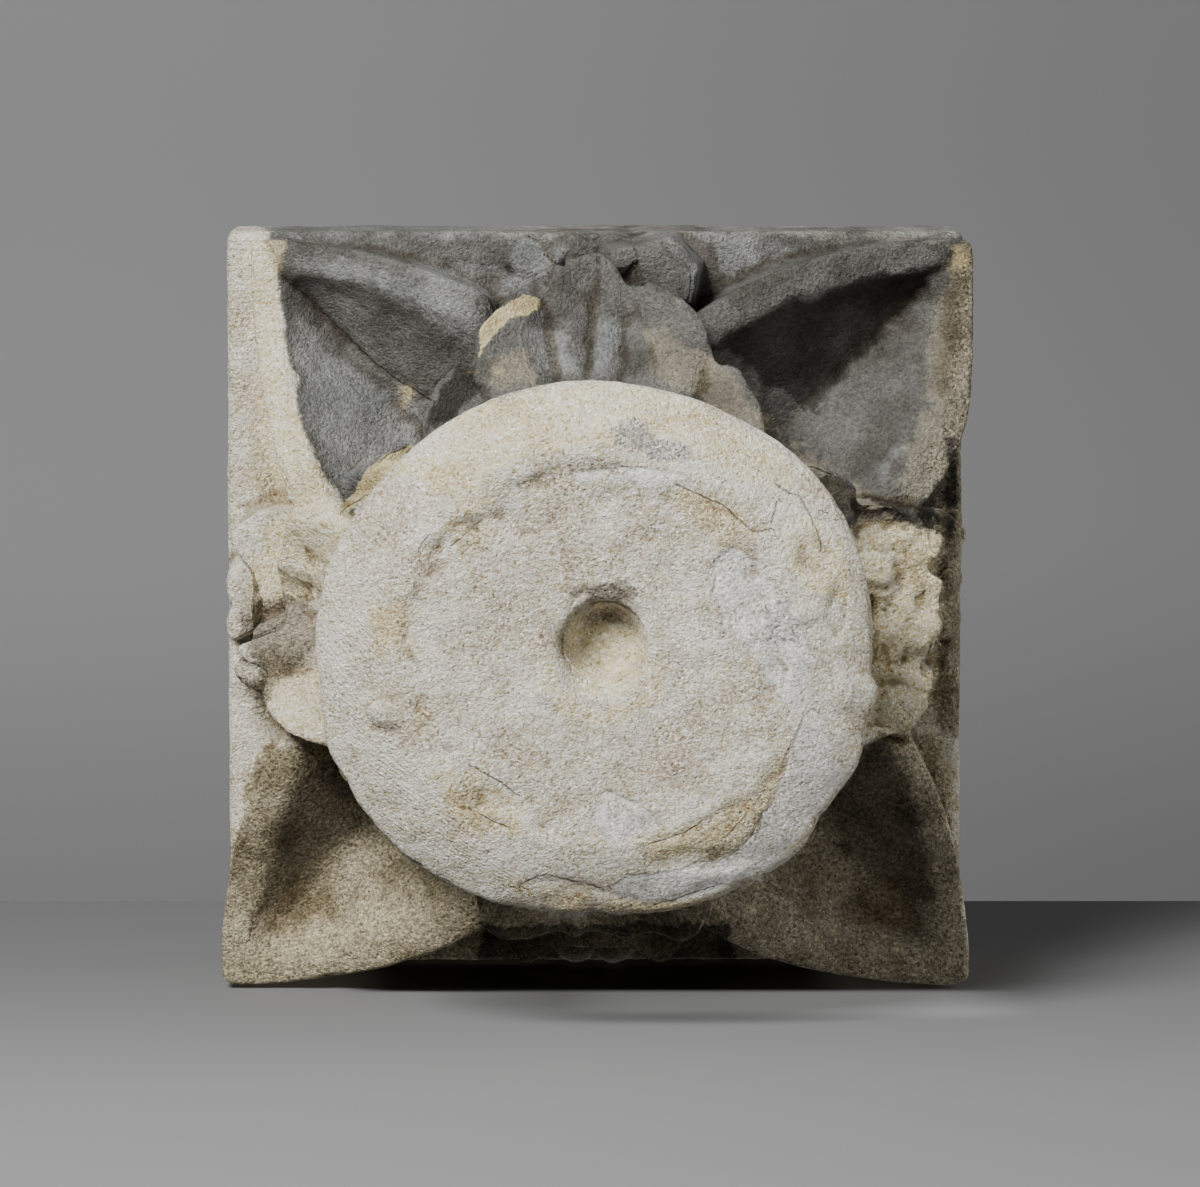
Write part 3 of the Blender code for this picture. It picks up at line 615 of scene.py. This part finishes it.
BLOCK_STAINS = {
    "khaki": (((262, 660), (350, 664), (356, 768), (290, 760), (262, 706)),
              ((484, 352), (520, 348), (534, 368), (495, 382)),
              ((926, 735), (940, 728), (958, 800), (952, 835), (936, 790)),
              ((962, 262), (976, 290), (976, 380), (968, 430), (960, 430), (966, 380), (966, 300)),
              ((262, 520), (300, 500), (350, 500), (350, 600), (318, 600), (262, 600), (250, 570)),
              ((285, 686), (345, 676), (350, 760), (300, 745), (280, 710)),
              ((246, 420), (290, 440), (320, 500), (280, 520), (250, 480)),
              ((850, 510), (946, 510), (946, 690), (905, 740), (862, 730)),
              ((216, 985), (214, 900), (262, 740), (330, 745), (430, 870), (540, 915), (520, 990))),
    # Mostly painted shade: the shaded wall of the lower left corner leaf, the shaded underside of
    # the left leaf, the lower right corner leaf in the shadow of the necking, a shaded hollow by
    # the right leaf and the gap between the lower corner leaves. The outline on the right band of
    # the upper right corner leaf is crust.
    "umber_and_painted_shade": (((300, 742), (345, 748), (376, 806), (352, 838), (322, 866), (286, 890), (252, 936),
               (246, 930), (262, 880), (282, 820)),
              ((241, 616), (262, 603), (290, 596), (318, 604), (326, 640), (298, 676), (262, 684),
               (254, 664), (248, 646)),
              ((242, 680), (280, 676), (276, 696), (262, 716)),
              ((820, 800), (880, 744), (908, 770), (928, 860), (940, 900), (920, 905), (880, 880),
               (840, 850)),
              ((855, 588), (880, 590), (884, 622), (862, 640)),
              ((964, 258), (944, 296), (936, 360), (932, 400), (952, 404), (964, 350), (972, 290)),
              ((500, 925), (720, 925), (720, 990), (480, 990))),
    "tan_and_painted_shade": (((646, 326), (708, 350), (730, 370), (782, 430), (760, 446), (700, 400), (650, 380)),
            ((783, 434), (862, 492), (900, 500), (925, 512), (870, 530), (840, 520), (800, 470)),
            ((958, 262), (936, 310), (924, 400), (902, 460), (892, 490), (936, 510), (970, 430),
             (982, 300), (972, 262)),
            ((484, 352), (530, 352), (540, 385), (490, 392)),
            ((470, 224), (970, 228), (960, 238), (700, 235), (480, 234))),
    "soot": (((262, 232), (300, 214), (600, 212), (974, 214), (974, 244), (964, 262), (956, 300),
              (950, 400), (928, 460), (932, 500), (936, 516), (870, 512), (855, 530), (820, 560),
              (700, 560), (500, 560), (440, 480), (405, 452), (350, 510), (340, 498), (321, 474),
              (304, 436), (294, 402), (289, 366), (282, 332), (276, 270)),),
    # Dark crust, and painted shade: the shadowed hollow of the upper right corner leaf and the gap
    # between the lower corner leaves are painted very dark.
    "black_and_painted_shade": (((422, 436), (429, 402), (437, 385), (460, 367), (476, 368), (480, 392), (450, 420)),
              ((708, 349), (738, 328), (789, 300), (882, 273), (942, 264), (931, 281), (887, 328),
               (848, 375), (815, 415), (791, 398), (768, 390), (749, 368), (728, 353)),
              ((484, 922), (730, 922), (744, 985), (470, 985)),
              ((862, 496), (900, 500), (934, 516), (930, 530), (880, 514)),
              ((946, 440), (956, 440), (956, 540), (946, 560))),
    "ash": (((298, 318), (330, 345), (378, 387), (426, 404), (422, 440), (398, 452), (366, 474),
             (348, 496), (326, 466), (304, 420), (292, 360)),
            ((292, 258), (350, 258), (430, 280), (484, 308), (466, 342), (420, 314), (352, 280),
             (300, 272)),
            ((420, 258), (480, 265), (542, 270), (540, 292), (480, 300), (400, 275)),
            ((262, 220), (560, 220), (560, 238), (420, 236), (262, 236)),
            ((700, 220), (972, 220), (972, 240), (860, 236), (700, 238)),
            ((560, 226), (740, 230), (800, 246), (740, 268), (706, 296), (680, 300), (690, 262),
             (660, 240), (580, 238)),
            ((588, 376), (596, 318), (620, 318), (628, 376)),
            ((528, 330), (560, 325), (580, 376), (540, 376)),
            ((876, 470), (900, 440), (915, 400), (908, 440), (880, 486)),
            ((506, 262), (520, 236), (560, 240), (566, 256), (548, 286))),
    "cream_and_painted_light": (((246, 240), (262, 240), (276, 270), (282, 332), (290, 370), (300, 420), (322, 474),
               (344, 506), (330, 540), (286, 520), (268, 470), (255, 400), (246, 300)),
              ((280, 510), (340, 520), (340, 600), (300, 596), (262, 604), (246, 590), (262, 540)),
              # Partly painted light: the broken right leaf is made paler to stand in for light that
              # the necking's shadow keeps from it.
              ((858, 512), (930, 536), (944, 600), (936, 680), (905, 738), (868, 722), (870, 640),
               (858, 570)),
              ((858, 700), (868, 690), (910, 690), (925, 700), (905, 738), (868, 724))),
    "sand": (EDGE_CHIP,
             ((344, 506), (355, 487), (368, 471), (383, 458), (401, 449), (411, 447), (395, 464),
              (372, 490), (356, 504))),
    "ochre": (((395, 384), (418, 394), (420, 402), (405, 404)),
              ((950, 246), (970, 242), (972, 272), (952, 276)),
              ((256, 236), (282, 240), (284, 276), (266, 262)),
              ((855, 588), (882, 590), (884, 625), (862, 650)),
              ((896, 536), (930, 550), (926, 592), (900, 580)),
              ((876, 640), (900, 650), (896, 676), (872, 668)),
              ((318, 560), (340, 560), (336, 640), (324, 640)),
              ((300, 744), (330, 745), (335, 770), (310, 765)),
              ((472, 372), (500, 360), (520, 372), (490, 382))),
    "brown": (((936, 244), (960, 234), (978, 240), (980, 300), (962, 296), (950, 270)),
              ((216, 985), (214, 900), (262, 740), (330, 745), (430, 870), (560, 915), (760, 880),
               (880, 730), (935, 735), (968, 900), (968, 990), (600, 1000)),
              ((940, 430), (965, 430), (965, 740), (935, 740)),
              ((958, 262), (940, 310), (930, 400), (908, 460), (896, 486), (950, 480), (974, 400),
               (982, 300)),
              ((783, 436), (862, 494), (900, 502), (870, 512), (845, 505), (800, 450))),
}
# Dark lines along cracks. Along the ledges at the edge of the bed face they also paint the shadow
# under the overhang, and along the crease of the upper left corner leaf the shade in its fold.
CRACKS = (
    ((776, 483), (786, 493), (798, 493), (804, 503), (826, 513)), ((778, 501), (772, 523)),
    ((806, 505), (816, 528), (822, 549)), ((472, 766), (486, 775), (503, 783), (517, 795)),
    ((465, 808), (487, 818), (509, 828)), ((521, 886), (542, 874), (570, 880), (600, 888)),
    ((646, 846), (686, 833), (702, 821)), ((652, 906), (690, 894), (722, 884)),
    ((678, 485), (722, 505), (754, 531), (772, 529)), ((478, 523), (465, 534), (453, 545)),
    ((430, 533), (424, 542), (418, 552)), ((728, 836), (746, 816), (762, 792)),
    ((342, 512), (356, 502), (371, 493)), ((378, 462), (392, 453), (405, 448)),
    ((809, 466), (820, 470), (832, 475)),
    ((286, 279), (318, 309), (352, 341), (378, 366), (404, 384), (430, 399)),
)
PIXELS_DEEP = 40.0
NECKING_TOP = 0.0485
TABLE_SIDE = 0.27
low_part = points[:, 2] < NECKING_TOP
turned = TABLE_SIDE * ease(normals[:, 1], 0.3, 0.8)
seen_side = ease(-normals[:, 2] - turned, -0.20, 0.05)
roughly = noise(points, 0.020, 61) * 5.0 + noise(points, 0.009, 62) * 3.0

# Crust of the sides that don't face the camera: how deep its patches go in pixels, their
# size and seed, its level, and how it changes toward one side (axis, way, change, range).
SIDE_CRUST = {
    "soot": (14.0, 0.06, 71, -8.0, (1, -1.0, 12.0, 0.11, 0.13)),
    "black_and_painted_shade": (12.0, 0.05, 77, -12.0, None),
    "ash": (18.0, 0.05, 73, -6.0, (1, -1.0, 12.0, 0.11, 0.13)),
    "cream_and_painted_light": (18.0, 0.05, 75, -3.0, (0, 1.0, -30.0, 0.07, 0.11)),
    "ochre": (14.0, 0.04, 74, -9.0, None),
    "brown": (16.0, 0.05, 72, -2.0, (0, 1.0, 12.0, 0.10, 0.13)),
    "film": (12.0, 0.05, 76, -8.0, None),
    "khaki": (18.0, 0.06, 78, -2.0, (0, 1.0, 4.0, 0.07, 0.11)),
    "umber_and_painted_shade": (14.0, 0.05, 79, -10.0, None),
    "tan_and_painted_shade": (14.0, 0.05, 80, -8.0, (0, 1.0, 22.0, 0.10, 0.12)),
    "slate": None,
    "sand": None,
}
for stain, patches in SIDE_CRUST.items():
    field = np.full(len(points), -PIXELS_DEEP)
    for where, stains in ((low_part, NECKING_STAINS), (~low_part, BLOCK_STAINS)):
        for outline in stains.get(stain, ()):
            inside = np.where(where, inside_outline(spots, outline) + roughly, -PIXELS_DEEP)
            field = np.maximum(field, inside)
    crust = -PIXELS_DEEP
    if patches:
        deep, size, seed, level, change = patches
        crust = deep * noise(points, size, seed) + level
        if change:
            axis, way, amount, low, high = change
            crust = crust + amount * ease(way * points[:, axis], low, high)
    sides = np.where(low_part, -PIXELS_DEEP, crust)
    field = field * seen_side + sides * (1.0 - seen_side)
    keep_attribute(stain, np.clip(field / PIXELS_DEEP, -1.0, 1.0))


# Where the chisel left its strokes: the flank below the left leaf, and the hidden sides.
TOOLED = ((350, 560), (400, 640), (430, 760), (500, 840), (600, 880), (560, 915), (470, 900),
          (380, 840), (330, 740), (312, 640))
TOOLED_EDGE = 26.0
SLAB_START = 0.150
SLAB_STROKES, LEAF_STROKES = 0.75, 0.35
tooled = np.where(low_part, inside_outline(spots, TOOLED) / TOOLED_EDGE, -1.0) * seen_side
hidden = np.where(points[:, 2] > SLAB_START, SLAB_STROKES, LEAF_STROKES)
tooled += (1.0 - seen_side) * hidden
keep_attribute("tooled", np.clip(tooled, 0.0, 1.0))


def side_of_line(spots, line):
    """Signed distance from an open line, in pixels, and how far inside its length."""
    best = np.full(len(spots), 1e9)
    signed = np.zeros(len(spots))
    for (x0, y0), (x1, y1) in zip(line, line[1:]):
        along = np.array((x1 - x0, y1 - y0), dtype=float)
        t = np.clip(((spots - (x0, y0)) @ along) / (along @ along), 0.0, 1.0)
        off = spots - (x0, y0) - t[:, None] * along
        far = np.hypot(off[:, 0], off[:, 1])
        side = np.sign(along[0] * off[:, 1] - along[1] * off[:, 0])
        closer = far < best
        best = np.where(closer, far, best)
        signed = np.where(closer, far * side, signed)
    return best, signed


CRACK_REACH = 9.0
crack = np.full(len(points), CRACK_REACH)
crack_near = np.full(len(points), 1e9)
for line in CRACKS:
    far, signed = side_of_line(spots, line)
    closer = (far < crack_near) & (seen_side > 0.5)
    crack = np.where(closer, signed, crack)
    crack_near = np.where(closer, far, crack_near)
keep_attribute("crack", np.clip(crack, -CRACK_REACH, CRACK_REACH))
keep_attribute("crack_near", np.clip(1.0 - crack_near / CRACK_REACH, 0.0, 1.0))


def group(name, inputs, outputs):
    """A new group of shader nodes with named inputs and outputs."""
    tree = bpy.data.node_groups.new(name, "ShaderNodeTree")
    for label, kind, default in inputs:
        socket = tree.interface.new_socket(label, in_out="INPUT", socket_type=kind)
        socket.default_value = default
    for label, kind in outputs:
        tree.interface.new_socket(label, in_out="OUTPUT", socket_type=kind)
    return tree


def put(tree, kind, links=(), **settings):
    """A shader node; links are (input, socket that feeds it or value)."""
    node = tree.nodes.new(kind)
    for key, value in settings.items():
        setattr(node, key, value)
    for label, source in links:
        if isinstance(source, bpy.types.NodeSocket):
            tree.links.new(source, node.inputs[label])
        else:
            node.inputs[label].default_value = source
    return node


def blend_colours(tree, share, a, b, mode="MIX"):
    """Colour a, changed to or by colour b over a share of the surface."""
    node = put(tree, "ShaderNodeMix", data_type="RGBA", blend_type=mode)
    for index, source in ((0, share), (6, a), (7, b)):
        if isinstance(source, bpy.types.NodeSocket):
            tree.links.new(source, node.inputs[index])
        else:
            node.inputs[index].default_value = source
    return node.outputs[2]


def sums(tree, operation, *sources):
    """One step of arithmetic on values that change over the surface."""
    node = put(tree, "ShaderNodeMath", operation=operation)
    for index, source in enumerate(sources):
        if isinstance(source, bpy.types.NodeSocket):
            tree.links.new(source, node.inputs[index])
        else:
            node.inputs[index].default_value = source
    return node.outputs[0]


def ramp(tree, source, low, high):
    """0 at low, 1 at high, and smooth between."""
    ends = (("Value", source), ("From Min", low), ("From Max", high))
    return put(tree, "ShaderNodeMapRange", ends, interpolation_type="SMOOTHSTEP").outputs["Result"]


def weighed(tree, *parts):
    """Sum of values that each have a weight of their own."""
    total = 0.0
    for source, weight in parts:
        total = sums(tree, "MULTIPLY_ADD", source, weight, total)
    return total


def sandstone_grain():
    """Sand grains: a speckle of light and dark, pale and dark single grains, and relief.

    Scales are in features per metre.
    """
    tree = group("sandstone grain", (("Scale", "NodeSocketFloat", 1.0),),
                 (("Speckle", "NodeSocketFloat"), ("Relief", "NodeSocketFloat"),
                  ("Cloud", "NodeSocketFloat"), ("Pale Grains", "NodeSocketFloat"),
                  ("Pits", "NodeSocketFloat"), ("Ragged", "NodeSocketFloat"),
                  ("Strokes", "NodeSocketFloat")))
    given = tree.nodes.new("NodeGroupInput")
    place = put(tree, "ShaderNodeTexCoord").outputs["Object"]
    scaled = put(tree, "ShaderNodeVectorMath", ((0, place),), operation="SCALE")
    tree.links.new(given.outputs["Scale"], scaled.inputs["Scale"])
    where = scaled.outputs[0]

    def relief_noise(scale, detail, roughness):
        given_values = (("Vector", where), ("Scale", scale), ("Detail", detail),
                        ("Roughness", roughness))
        return put(tree, "ShaderNodeTexNoise", given_values).outputs[0]

    def flecks(turned, scale):
        """Short bright strokes that lie one way."""
        turn = put(tree, "ShaderNodeMapping",
                   (("Vector", where), ("Rotation", turned), ("Scale", scale))).outputs[0]
        return put(tree, "ShaderNodeTexNoise", (("Vector", turn), ("Scale", 1.0), ("Detail", 2.0),
                                                ("Roughness", 0.5))).outputs[0]

    def grains(scale):
        """One random value for each grain, and how far its middle is."""
        cells = put(tree, "ShaderNodeTexVoronoi", (("Vector", where), ("Scale", scale))).outputs
        value = put(tree, "ShaderNodeSeparateColor", ((0, cells["Color"]),)).outputs[0]
        return value, cells["Distance"]

    grain_value, grain_middle = grains(1250.0)
    fine_value, fine_middle = grains(2300.0)
    coarse = relief_noise(760.0, 4.0, 0.66)
    broad = relief_noise(120.0, 4.0, 0.6)
    cloud = relief_noise(42.0, 5.0, 0.62)
    ragged = relief_noise(120.0, 7.0, 0.68)
    strokes = sums(tree, "MAXIMUM", flecks((0.4, 0.2, 0.45), (260.0, 1300.0, 700.0)),
                   flecks((-0.3, 0.3, -0.5), (280.0, 1200.0, 700.0)))
    pale = sums(tree, "MAXIMUM", ramp(tree, strokes, 0.645, 0.70),
                ramp(tree, grain_value, 0.93, 0.97))
    pit = ramp(tree, relief_noise(820.0, 4.0, 0.66), 0.37, 0.30)
    pit = sums(tree, "MAXIMUM", pit, ramp(tree, grain_value, 0.06, 0.03))
    across = put(tree, "ShaderNodeVectorMath", ((0, where), (1, (-0.36, 0.60, 0.71))),
                 operation="DOT_PRODUCT").outputs["Value"]
    along = put(tree, "ShaderNodeVectorMath", ((0, where), (1, (0.86, 0.50, 0.02))),
                operation="DOT_PRODUCT").outputs["Value"]
    laid = put(tree, "ShaderNodeCombineXYZ", ((0, across), (1, along))).outputs[0]
    chisel = put(tree, "ShaderNodeTexWave",
                 (("Vector", laid), ("Scale", 230.0), ("Distortion", 8.0), ("Detail", 4.0),
                  ("Detail Scale", 0.9))).outputs[1]
    chisel = sums(tree, "MULTIPLY", chisel, ramp(tree, broad, 0.38, 0.60))
    speckle = weighed(tree, (grain_value, 0.30), (fine_value, 0.16), (coarse, 0.54))
    relief = weighed(tree, (coarse, 0.85), (grain_middle, -0.16), (fine_middle, -0.07),
                     (grain_value, 0.10), (broad, 1.15), (pit, -0.18), (pale, 0.08))
    result = tree.nodes.new("NodeGroupOutput")
    for label, source in (("Speckle", speckle), ("Relief", relief), ("Cloud", cloud),
                          ("Pale Grains", pale), ("Pits", pit), ("Ragged", ragged),
                          ("Strokes", chisel)):
        tree.links.new(source, result.inputs[label])
    return tree


# Finish of the stone. Pale sandstone with stains over it; some stains also paint shade or light,
# where their outlines say so. Each stain has a dark and a light tone, says how torn its edge
# is and between which values it fades in, and has a share.
PALE_STONE = ((0.585, 0.525, 0.42), (0.82, 0.78, 0.675))
STAINS = (
    ("khaki", ((0.53, 0.455, 0.28), (0.71, 0.64, 0.45)), 1.2, -0.16, 0.20, 0.75),
    ("brown", ((0.16, 0.135, 0.080), (0.44, 0.385, 0.26)), 0.8, -0.10, 0.12, 0.85),
    ("soot", ((0.065, 0.063, 0.057), (0.146, 0.144, 0.133)), 0.7, -0.06, 0.08, 0.97),
    ("tan_and_painted_shade", ((0.16, 0.145, 0.11), (0.30, 0.275, 0.21)), 1.2, -0.10, 0.15, 0.85),
    ("black_and_painted_shade", ((0.022, 0.020, 0.016), (0.048, 0.044, 0.038)), 0.8, -0.06, 0.10, 0.88),
    ("ash", ((0.19, 0.195, 0.19), (0.33, 0.335, 0.325)), 1.0, -0.10, 0.22, 0.70),
    ("film", ((0.585, 0.575, 0.545), (0.72, 0.71, 0.67)), 0.6, -0.05, 0.08, 0.80),
    ("cream_and_painted_light", ((0.70, 0.615, 0.42), (0.86, 0.795, 0.61)), 0.7, -0.06, 0.10, 0.90),
    ("slate", ((0.30, 0.305, 0.30), (0.46, 0.465, 0.45)), 0.5, -0.02, 0.10, 0.75),
    ("sand", ((0.58, 0.475, 0.25), (0.76, 0.655, 0.39)), 0.35, -0.03, 0.03, 0.92),
    ("umber_and_painted_shade", ((0.085, 0.072, 0.045), (0.22, 0.185, 0.13)), 1.0, -0.10, 0.20, 0.80),
    ("ochre", ((0.52, 0.42, 0.22), (0.72, 0.62, 0.39)), 1.2, -0.10, 0.22, 0.65),
)
DRIFT = (0.32, 0.68)
SPECKLE = (0.33, 0.67)
SPECKLE_SHARE = 0.85
GRAIN_TONES = ((0.26, 0.25, 0.23, 1.0), (0.74, 0.735, 0.72, 1.0))
PALE_GRAIN = (1.6, 1.58, 1.52, 1.0)
PIT_SHADE = (0.42, 0.38, 0.31, 1.0)
SINGLE_SHARE = 0.55
HOLLOW_DIRT_AND_SHADE = (0.42, 0.36, 0.28, 1.0)
HOLLOW_DIRT_AND_SHADE_SHARE = 0.75
CRACK_LINE_AND_SHADOW = (0.05, 0.035, 0.02, 1.0)
CRACK_LINE_AND_SHADOW_SHARE = 0.6
CRACK_WANDER = 9.0
SOOT_CALM = 0.5
FILM_CALM = 0.55
STROKE_DEPTH = 0.14
RELIEF_DEPTH = 0.0023


def weathered_sandstone():
    """Pale sandstone with its crust and stains, some of which also paint shade and light."""
    material = bpy.data.materials.new("weathered sandstone")
    material.use_nodes = True
    tree = material.node_tree
    shader = tree.nodes["Principled BSDF"]
    shader.inputs["Specular IOR Level"].default_value = 0.12
    shader.inputs["Roughness"].default_value = 0.95
    grain = put(tree, "ShaderNodeGroup", node_tree=sandstone_grain()).outputs
    torn = sums(tree, "SUBTRACT", grain["Ragged"], 0.5)

    def read_attribute(name):
        return put(tree, "ShaderNodeAttribute", attribute_name=name).outputs["Fac"]

    def mask(name, tear, low, high):
        """A stain's share of the surface, with a torn edge; some stains also paint shade or light.
        """
        edge = sums(tree, "ADD", read_attribute(name), sums(tree, "MULTIPLY", torn, tear))
        return ramp(tree, edge, low, high)

    def tinted(dark, light):
        """Stone of two tones that drift into each other."""
        drift = ramp(tree, grain["Cloud"], *DRIFT)
        return blend_colours(tree, drift, (*dark, 1.0), (*light, 1.0))

    colour = tinted(*PALE_STONE)
    worn = {}
    for name, tones, tear, low, high, share in STAINS:
        amount = sums(tree, "MULTIPLY", mask(name, tear, low, high), share)
        worn[name] = amount
        colour = blend_colours(tree, amount, colour, tinted(*tones))
    speck = ramp(tree, grain["Speckle"], *SPECKLE)
    grey = blend_colours(tree, speck, *GRAIN_TONES)
    bare = sums(tree, "SUBTRACT", 1.0, sums(tree, "MULTIPLY", worn["soot"], SOOT_CALM))
    speckled = sums(tree, "MULTIPLY", bare, SPECKLE_SHARE)
    colour = blend_colours(tree, speckled, colour, grey, "OVERLAY")
    single = sums(tree, "MULTIPLY", bare, SINGLE_SHARE)
    # Darker in concave places: grime, and painted shade.
    dirt_and_shade = ramp(tree, read_attribute("hollow"), 0.30, 1.0)
    for amount, shade in ((sums(tree, "MULTIPLY", grain["Pale Grains"], single), PALE_GRAIN),
                          (sums(tree, "MULTIPLY", grain["Pits"], single), PIT_SHADE),
                          (sums(tree, "MULTIPLY", dirt_and_shade, HOLLOW_DIRT_AND_SHADE_SHARE), HOLLOW_DIRT_AND_SHADE)):
        shaded = blend_colours(tree, 1.0, colour, shade, "MULTIPLY")
        colour = blend_colours(tree, amount, colour, shaded)
    # Dark crack lines, partly painted shadow under the ledges and in the crease.
    wander = weighed(tree, (torn, CRACK_WANDER), (read_attribute("crack"), 1.0))
    line = ramp(tree, sums(tree, "ABSOLUTE", wander), 1.2, 0.1)
    line = sums(tree, "MULTIPLY", line, ramp(tree, read_attribute("crack_near"), 0.25, 0.55))
    line = sums(tree, "MULTIPLY", line, ramp(tree, grain["Cloud"], 0.36, 0.50))
    colour = blend_colours(tree, sums(tree, "MULTIPLY", line, CRACK_LINE_AND_SHADOW_SHARE), colour, CRACK_LINE_AND_SHADOW)
    tree.links.new(colour, shader.inputs["Base Color"])
    strokes = sums(tree, "MULTIPLY", grain["Strokes"], read_attribute("tooled"))
    relief = weighed(tree, (grain["Relief"], 1.0), (line, -0.4), (strokes, STROKE_DEPTH))
    smooth = sums(tree, "SUBTRACT", 1.0, sums(tree, "MULTIPLY", worn["film"], FILM_CALM))
    relief = sums(tree, "MULTIPLY", relief, smooth)
    bump = put(tree, "ShaderNodeBump",
               (("Height", relief), ("Strength", 1.0), ("Distance", RELIEF_DEPTH)))
    tree.links.new(bump.outputs["Normal"], shader.inputs["Normal"])
    return material


thin_mesh.materials.clear()
thin_mesh.materials.append(weathered_sandstone())


# Table and backdrop. A grey sheet that the block's back side rests on, darker toward its far
# edge, with a painted shadow under the block and painted light in front of it, a grey backdrop
# well behind it, darker toward its edges as painted falloff of light, and a pale floor for
# views of the block standing up.
TABLE_Y = 0.1352
TABLE_END = 0.367
BACKDROP_Z = 1.2


def stage_sheet(name, corners, colour, fades_and_painted_shadows, painted_glow=0.0, painted_glow_ranges=()):
    """A flat sheet, seen only from its front. Each fade is a share and the ranges it lies in, and
    can paint a shadow; the emission paints light over its own ranges, from no lamp.
    """
    mesh = bpy.data.meshes.new(name)
    mesh.from_pydata(corners, [], [(0, 1, 2, 3)])
    sheet = bpy.data.objects.new(name, mesh)
    bpy.context.scene.collection.objects.link(sheet)
    material = bpy.data.materials.new(name)
    material.use_nodes = True
    tree = material.node_tree
    shader = tree.nodes["Principled BSDF"]
    place = put(tree, "ShaderNodeTexCoord").outputs["Object"]
    along = put(tree, "ShaderNodeSeparateXYZ", ((0, place),)).outputs
    shader.inputs["Base Color"].default_value = colour
    for share, ranges in fades_and_painted_shadows:
        part = 1.0
        for axis, low, high in ranges:
            part = sums(tree, "MULTIPLY", part, ramp(tree, along[axis], low, high))
        shade = blend_colours(tree, part, (1.0, 1.0, 1.0, 1.0), (share, share, share, 1.0))
        colour = blend_colours(tree, 1.0, colour, shade, "MULTIPLY")
        tree.links.new(colour, shader.inputs["Base Color"])
    shader.inputs["Roughness"].default_value = 0.75
    shader.inputs["Specular IOR Level"].default_value = 0.2
    shader.inputs["Emission Color"].default_value = (1.0, 1.0, 1.0, 1.0)
    shader.inputs["Emission Strength"].default_value = painted_glow
    for axis, low, high in painted_glow_ranges:
        painted_glow = sums(tree, "MULTIPLY", painted_glow, ramp(tree, along[axis], low, high))
        tree.links.new(painted_glow, shader.inputs["Emission Strength"])
    clear = put(tree, "ShaderNodeBsdfTransparent")
    behind = put(tree, "ShaderNodeNewGeometry").outputs["Backfacing"]
    mix = put(tree, "ShaderNodeMixShader",
              ((0, behind), (1, shader.outputs[0]), (2, clear.outputs[0])))
    tree.links.new(mix.outputs[0], tree.nodes["Material Output"].inputs["Surface"])
    mesh.materials.append(material)
    sheet.visible_diffuse = False
    sheet.visible_glossy = False
    sheet.visible_shadow = False
    sheet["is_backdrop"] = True


# The table is darker toward its far edge and its right. Its third fade paints a very dark shadow
# under the block between the lower corner leaves, and its emission paints light in front of the
# block that lifts the shadow the necking throws there.
stage_sheet("table", [(-3.0, TABLE_Y, -1.2), (3.0, TABLE_Y, -1.2), (3.0, TABLE_Y, TABLE_END),
                      (-3.0, TABLE_Y, TABLE_END)], (0.225, 0.225, 0.227, 1.0),
            ((0.68, ((2, -0.15, 0.36),)), (0.92, ((0, -0.25, 0.35),)),
             (0.04, ((0, -0.095, -0.070), (0, 0.098, 0.074), (2, 0.122, 0.131),
                    (2, 0.240, 0.205)))),
            0.145, ((0, -0.06, 0.02), (0, 0.16, 0.12), (2, 0.055, 0.085), (2, 0.134, 0.122)))
# The backdrop is darker toward its right, its top and its bottom: painted falloff of the key's
# light.
stage_sheet("backdrop", [(-3.0, -2.0, BACKDROP_Z), (-3.0, 2.0, BACKDROP_Z), (3.0, 2.0, BACKDROP_Z),
                         (3.0, -2.0, BACKDROP_Z)], (0.244, 0.244, 0.244, 1.0),
            ((0.71, ((0, -0.30, 0.40),)), (0.76, ((1, 0.06, 0.26),)), (0.88, ((1, 0.08, -0.16),))))
stage_sheet("floor", [(-6.0, -6.0, 0.0), (6.0, -6.0, 0.0), (6.0, 6.0, 0.0), (-6.0, 6.0, 0.0)],
            (0.55, 0.55, 0.55, 1.0), ())


# Light. A soft key from the upper left of the picture, a weak even fill from all round,
# and soft light from above and behind for the block standing up.
LIT_POINT = (0.0, 0.0, 0.1)


def soft_light(name, toward, distance, size, power):
    """A square lamp so far from the block in one direction, turned to it."""
    data = bpy.data.lights.new(name, "AREA")
    data.shape = "SQUARE"
    data.size = size
    data.energy = power
    lamp = bpy.data.objects.new(name, data)
    bpy.context.scene.collection.objects.link(lamp)
    way = Vector(toward).normalized()
    lamp.location = Vector(LIT_POINT) + way * distance
    lamp.rotation_euler = way.to_track_quat("Z", "Y").to_euler()


soft_light("key", (-0.37, -0.62, -0.69), 2.4, 0.8, 116.0)
soft_light("fill", (0.55, -0.10, -0.82), 2.2, 1.4, 8.5)
soft_light("side", (1.0, -0.35, 0.05), 2.2, 1.2, 17.0)
soft_light("above", (0.0, 0.5, 1.0), 2.2, 1.6, 14.0)
soft_light("behind", (0.35, 0.75, 0.55), 2.6, 1.2, 8.0)
world = bpy.data.worlds.new("fill")
world.use_nodes = True
sky = world.node_tree.nodes["Background"].inputs
sky["Color"].default_value = (0.62, 0.63, 0.65, 1.0)
sky["Strength"].default_value = 0.11
bpy.context.scene.world = world

low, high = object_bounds()
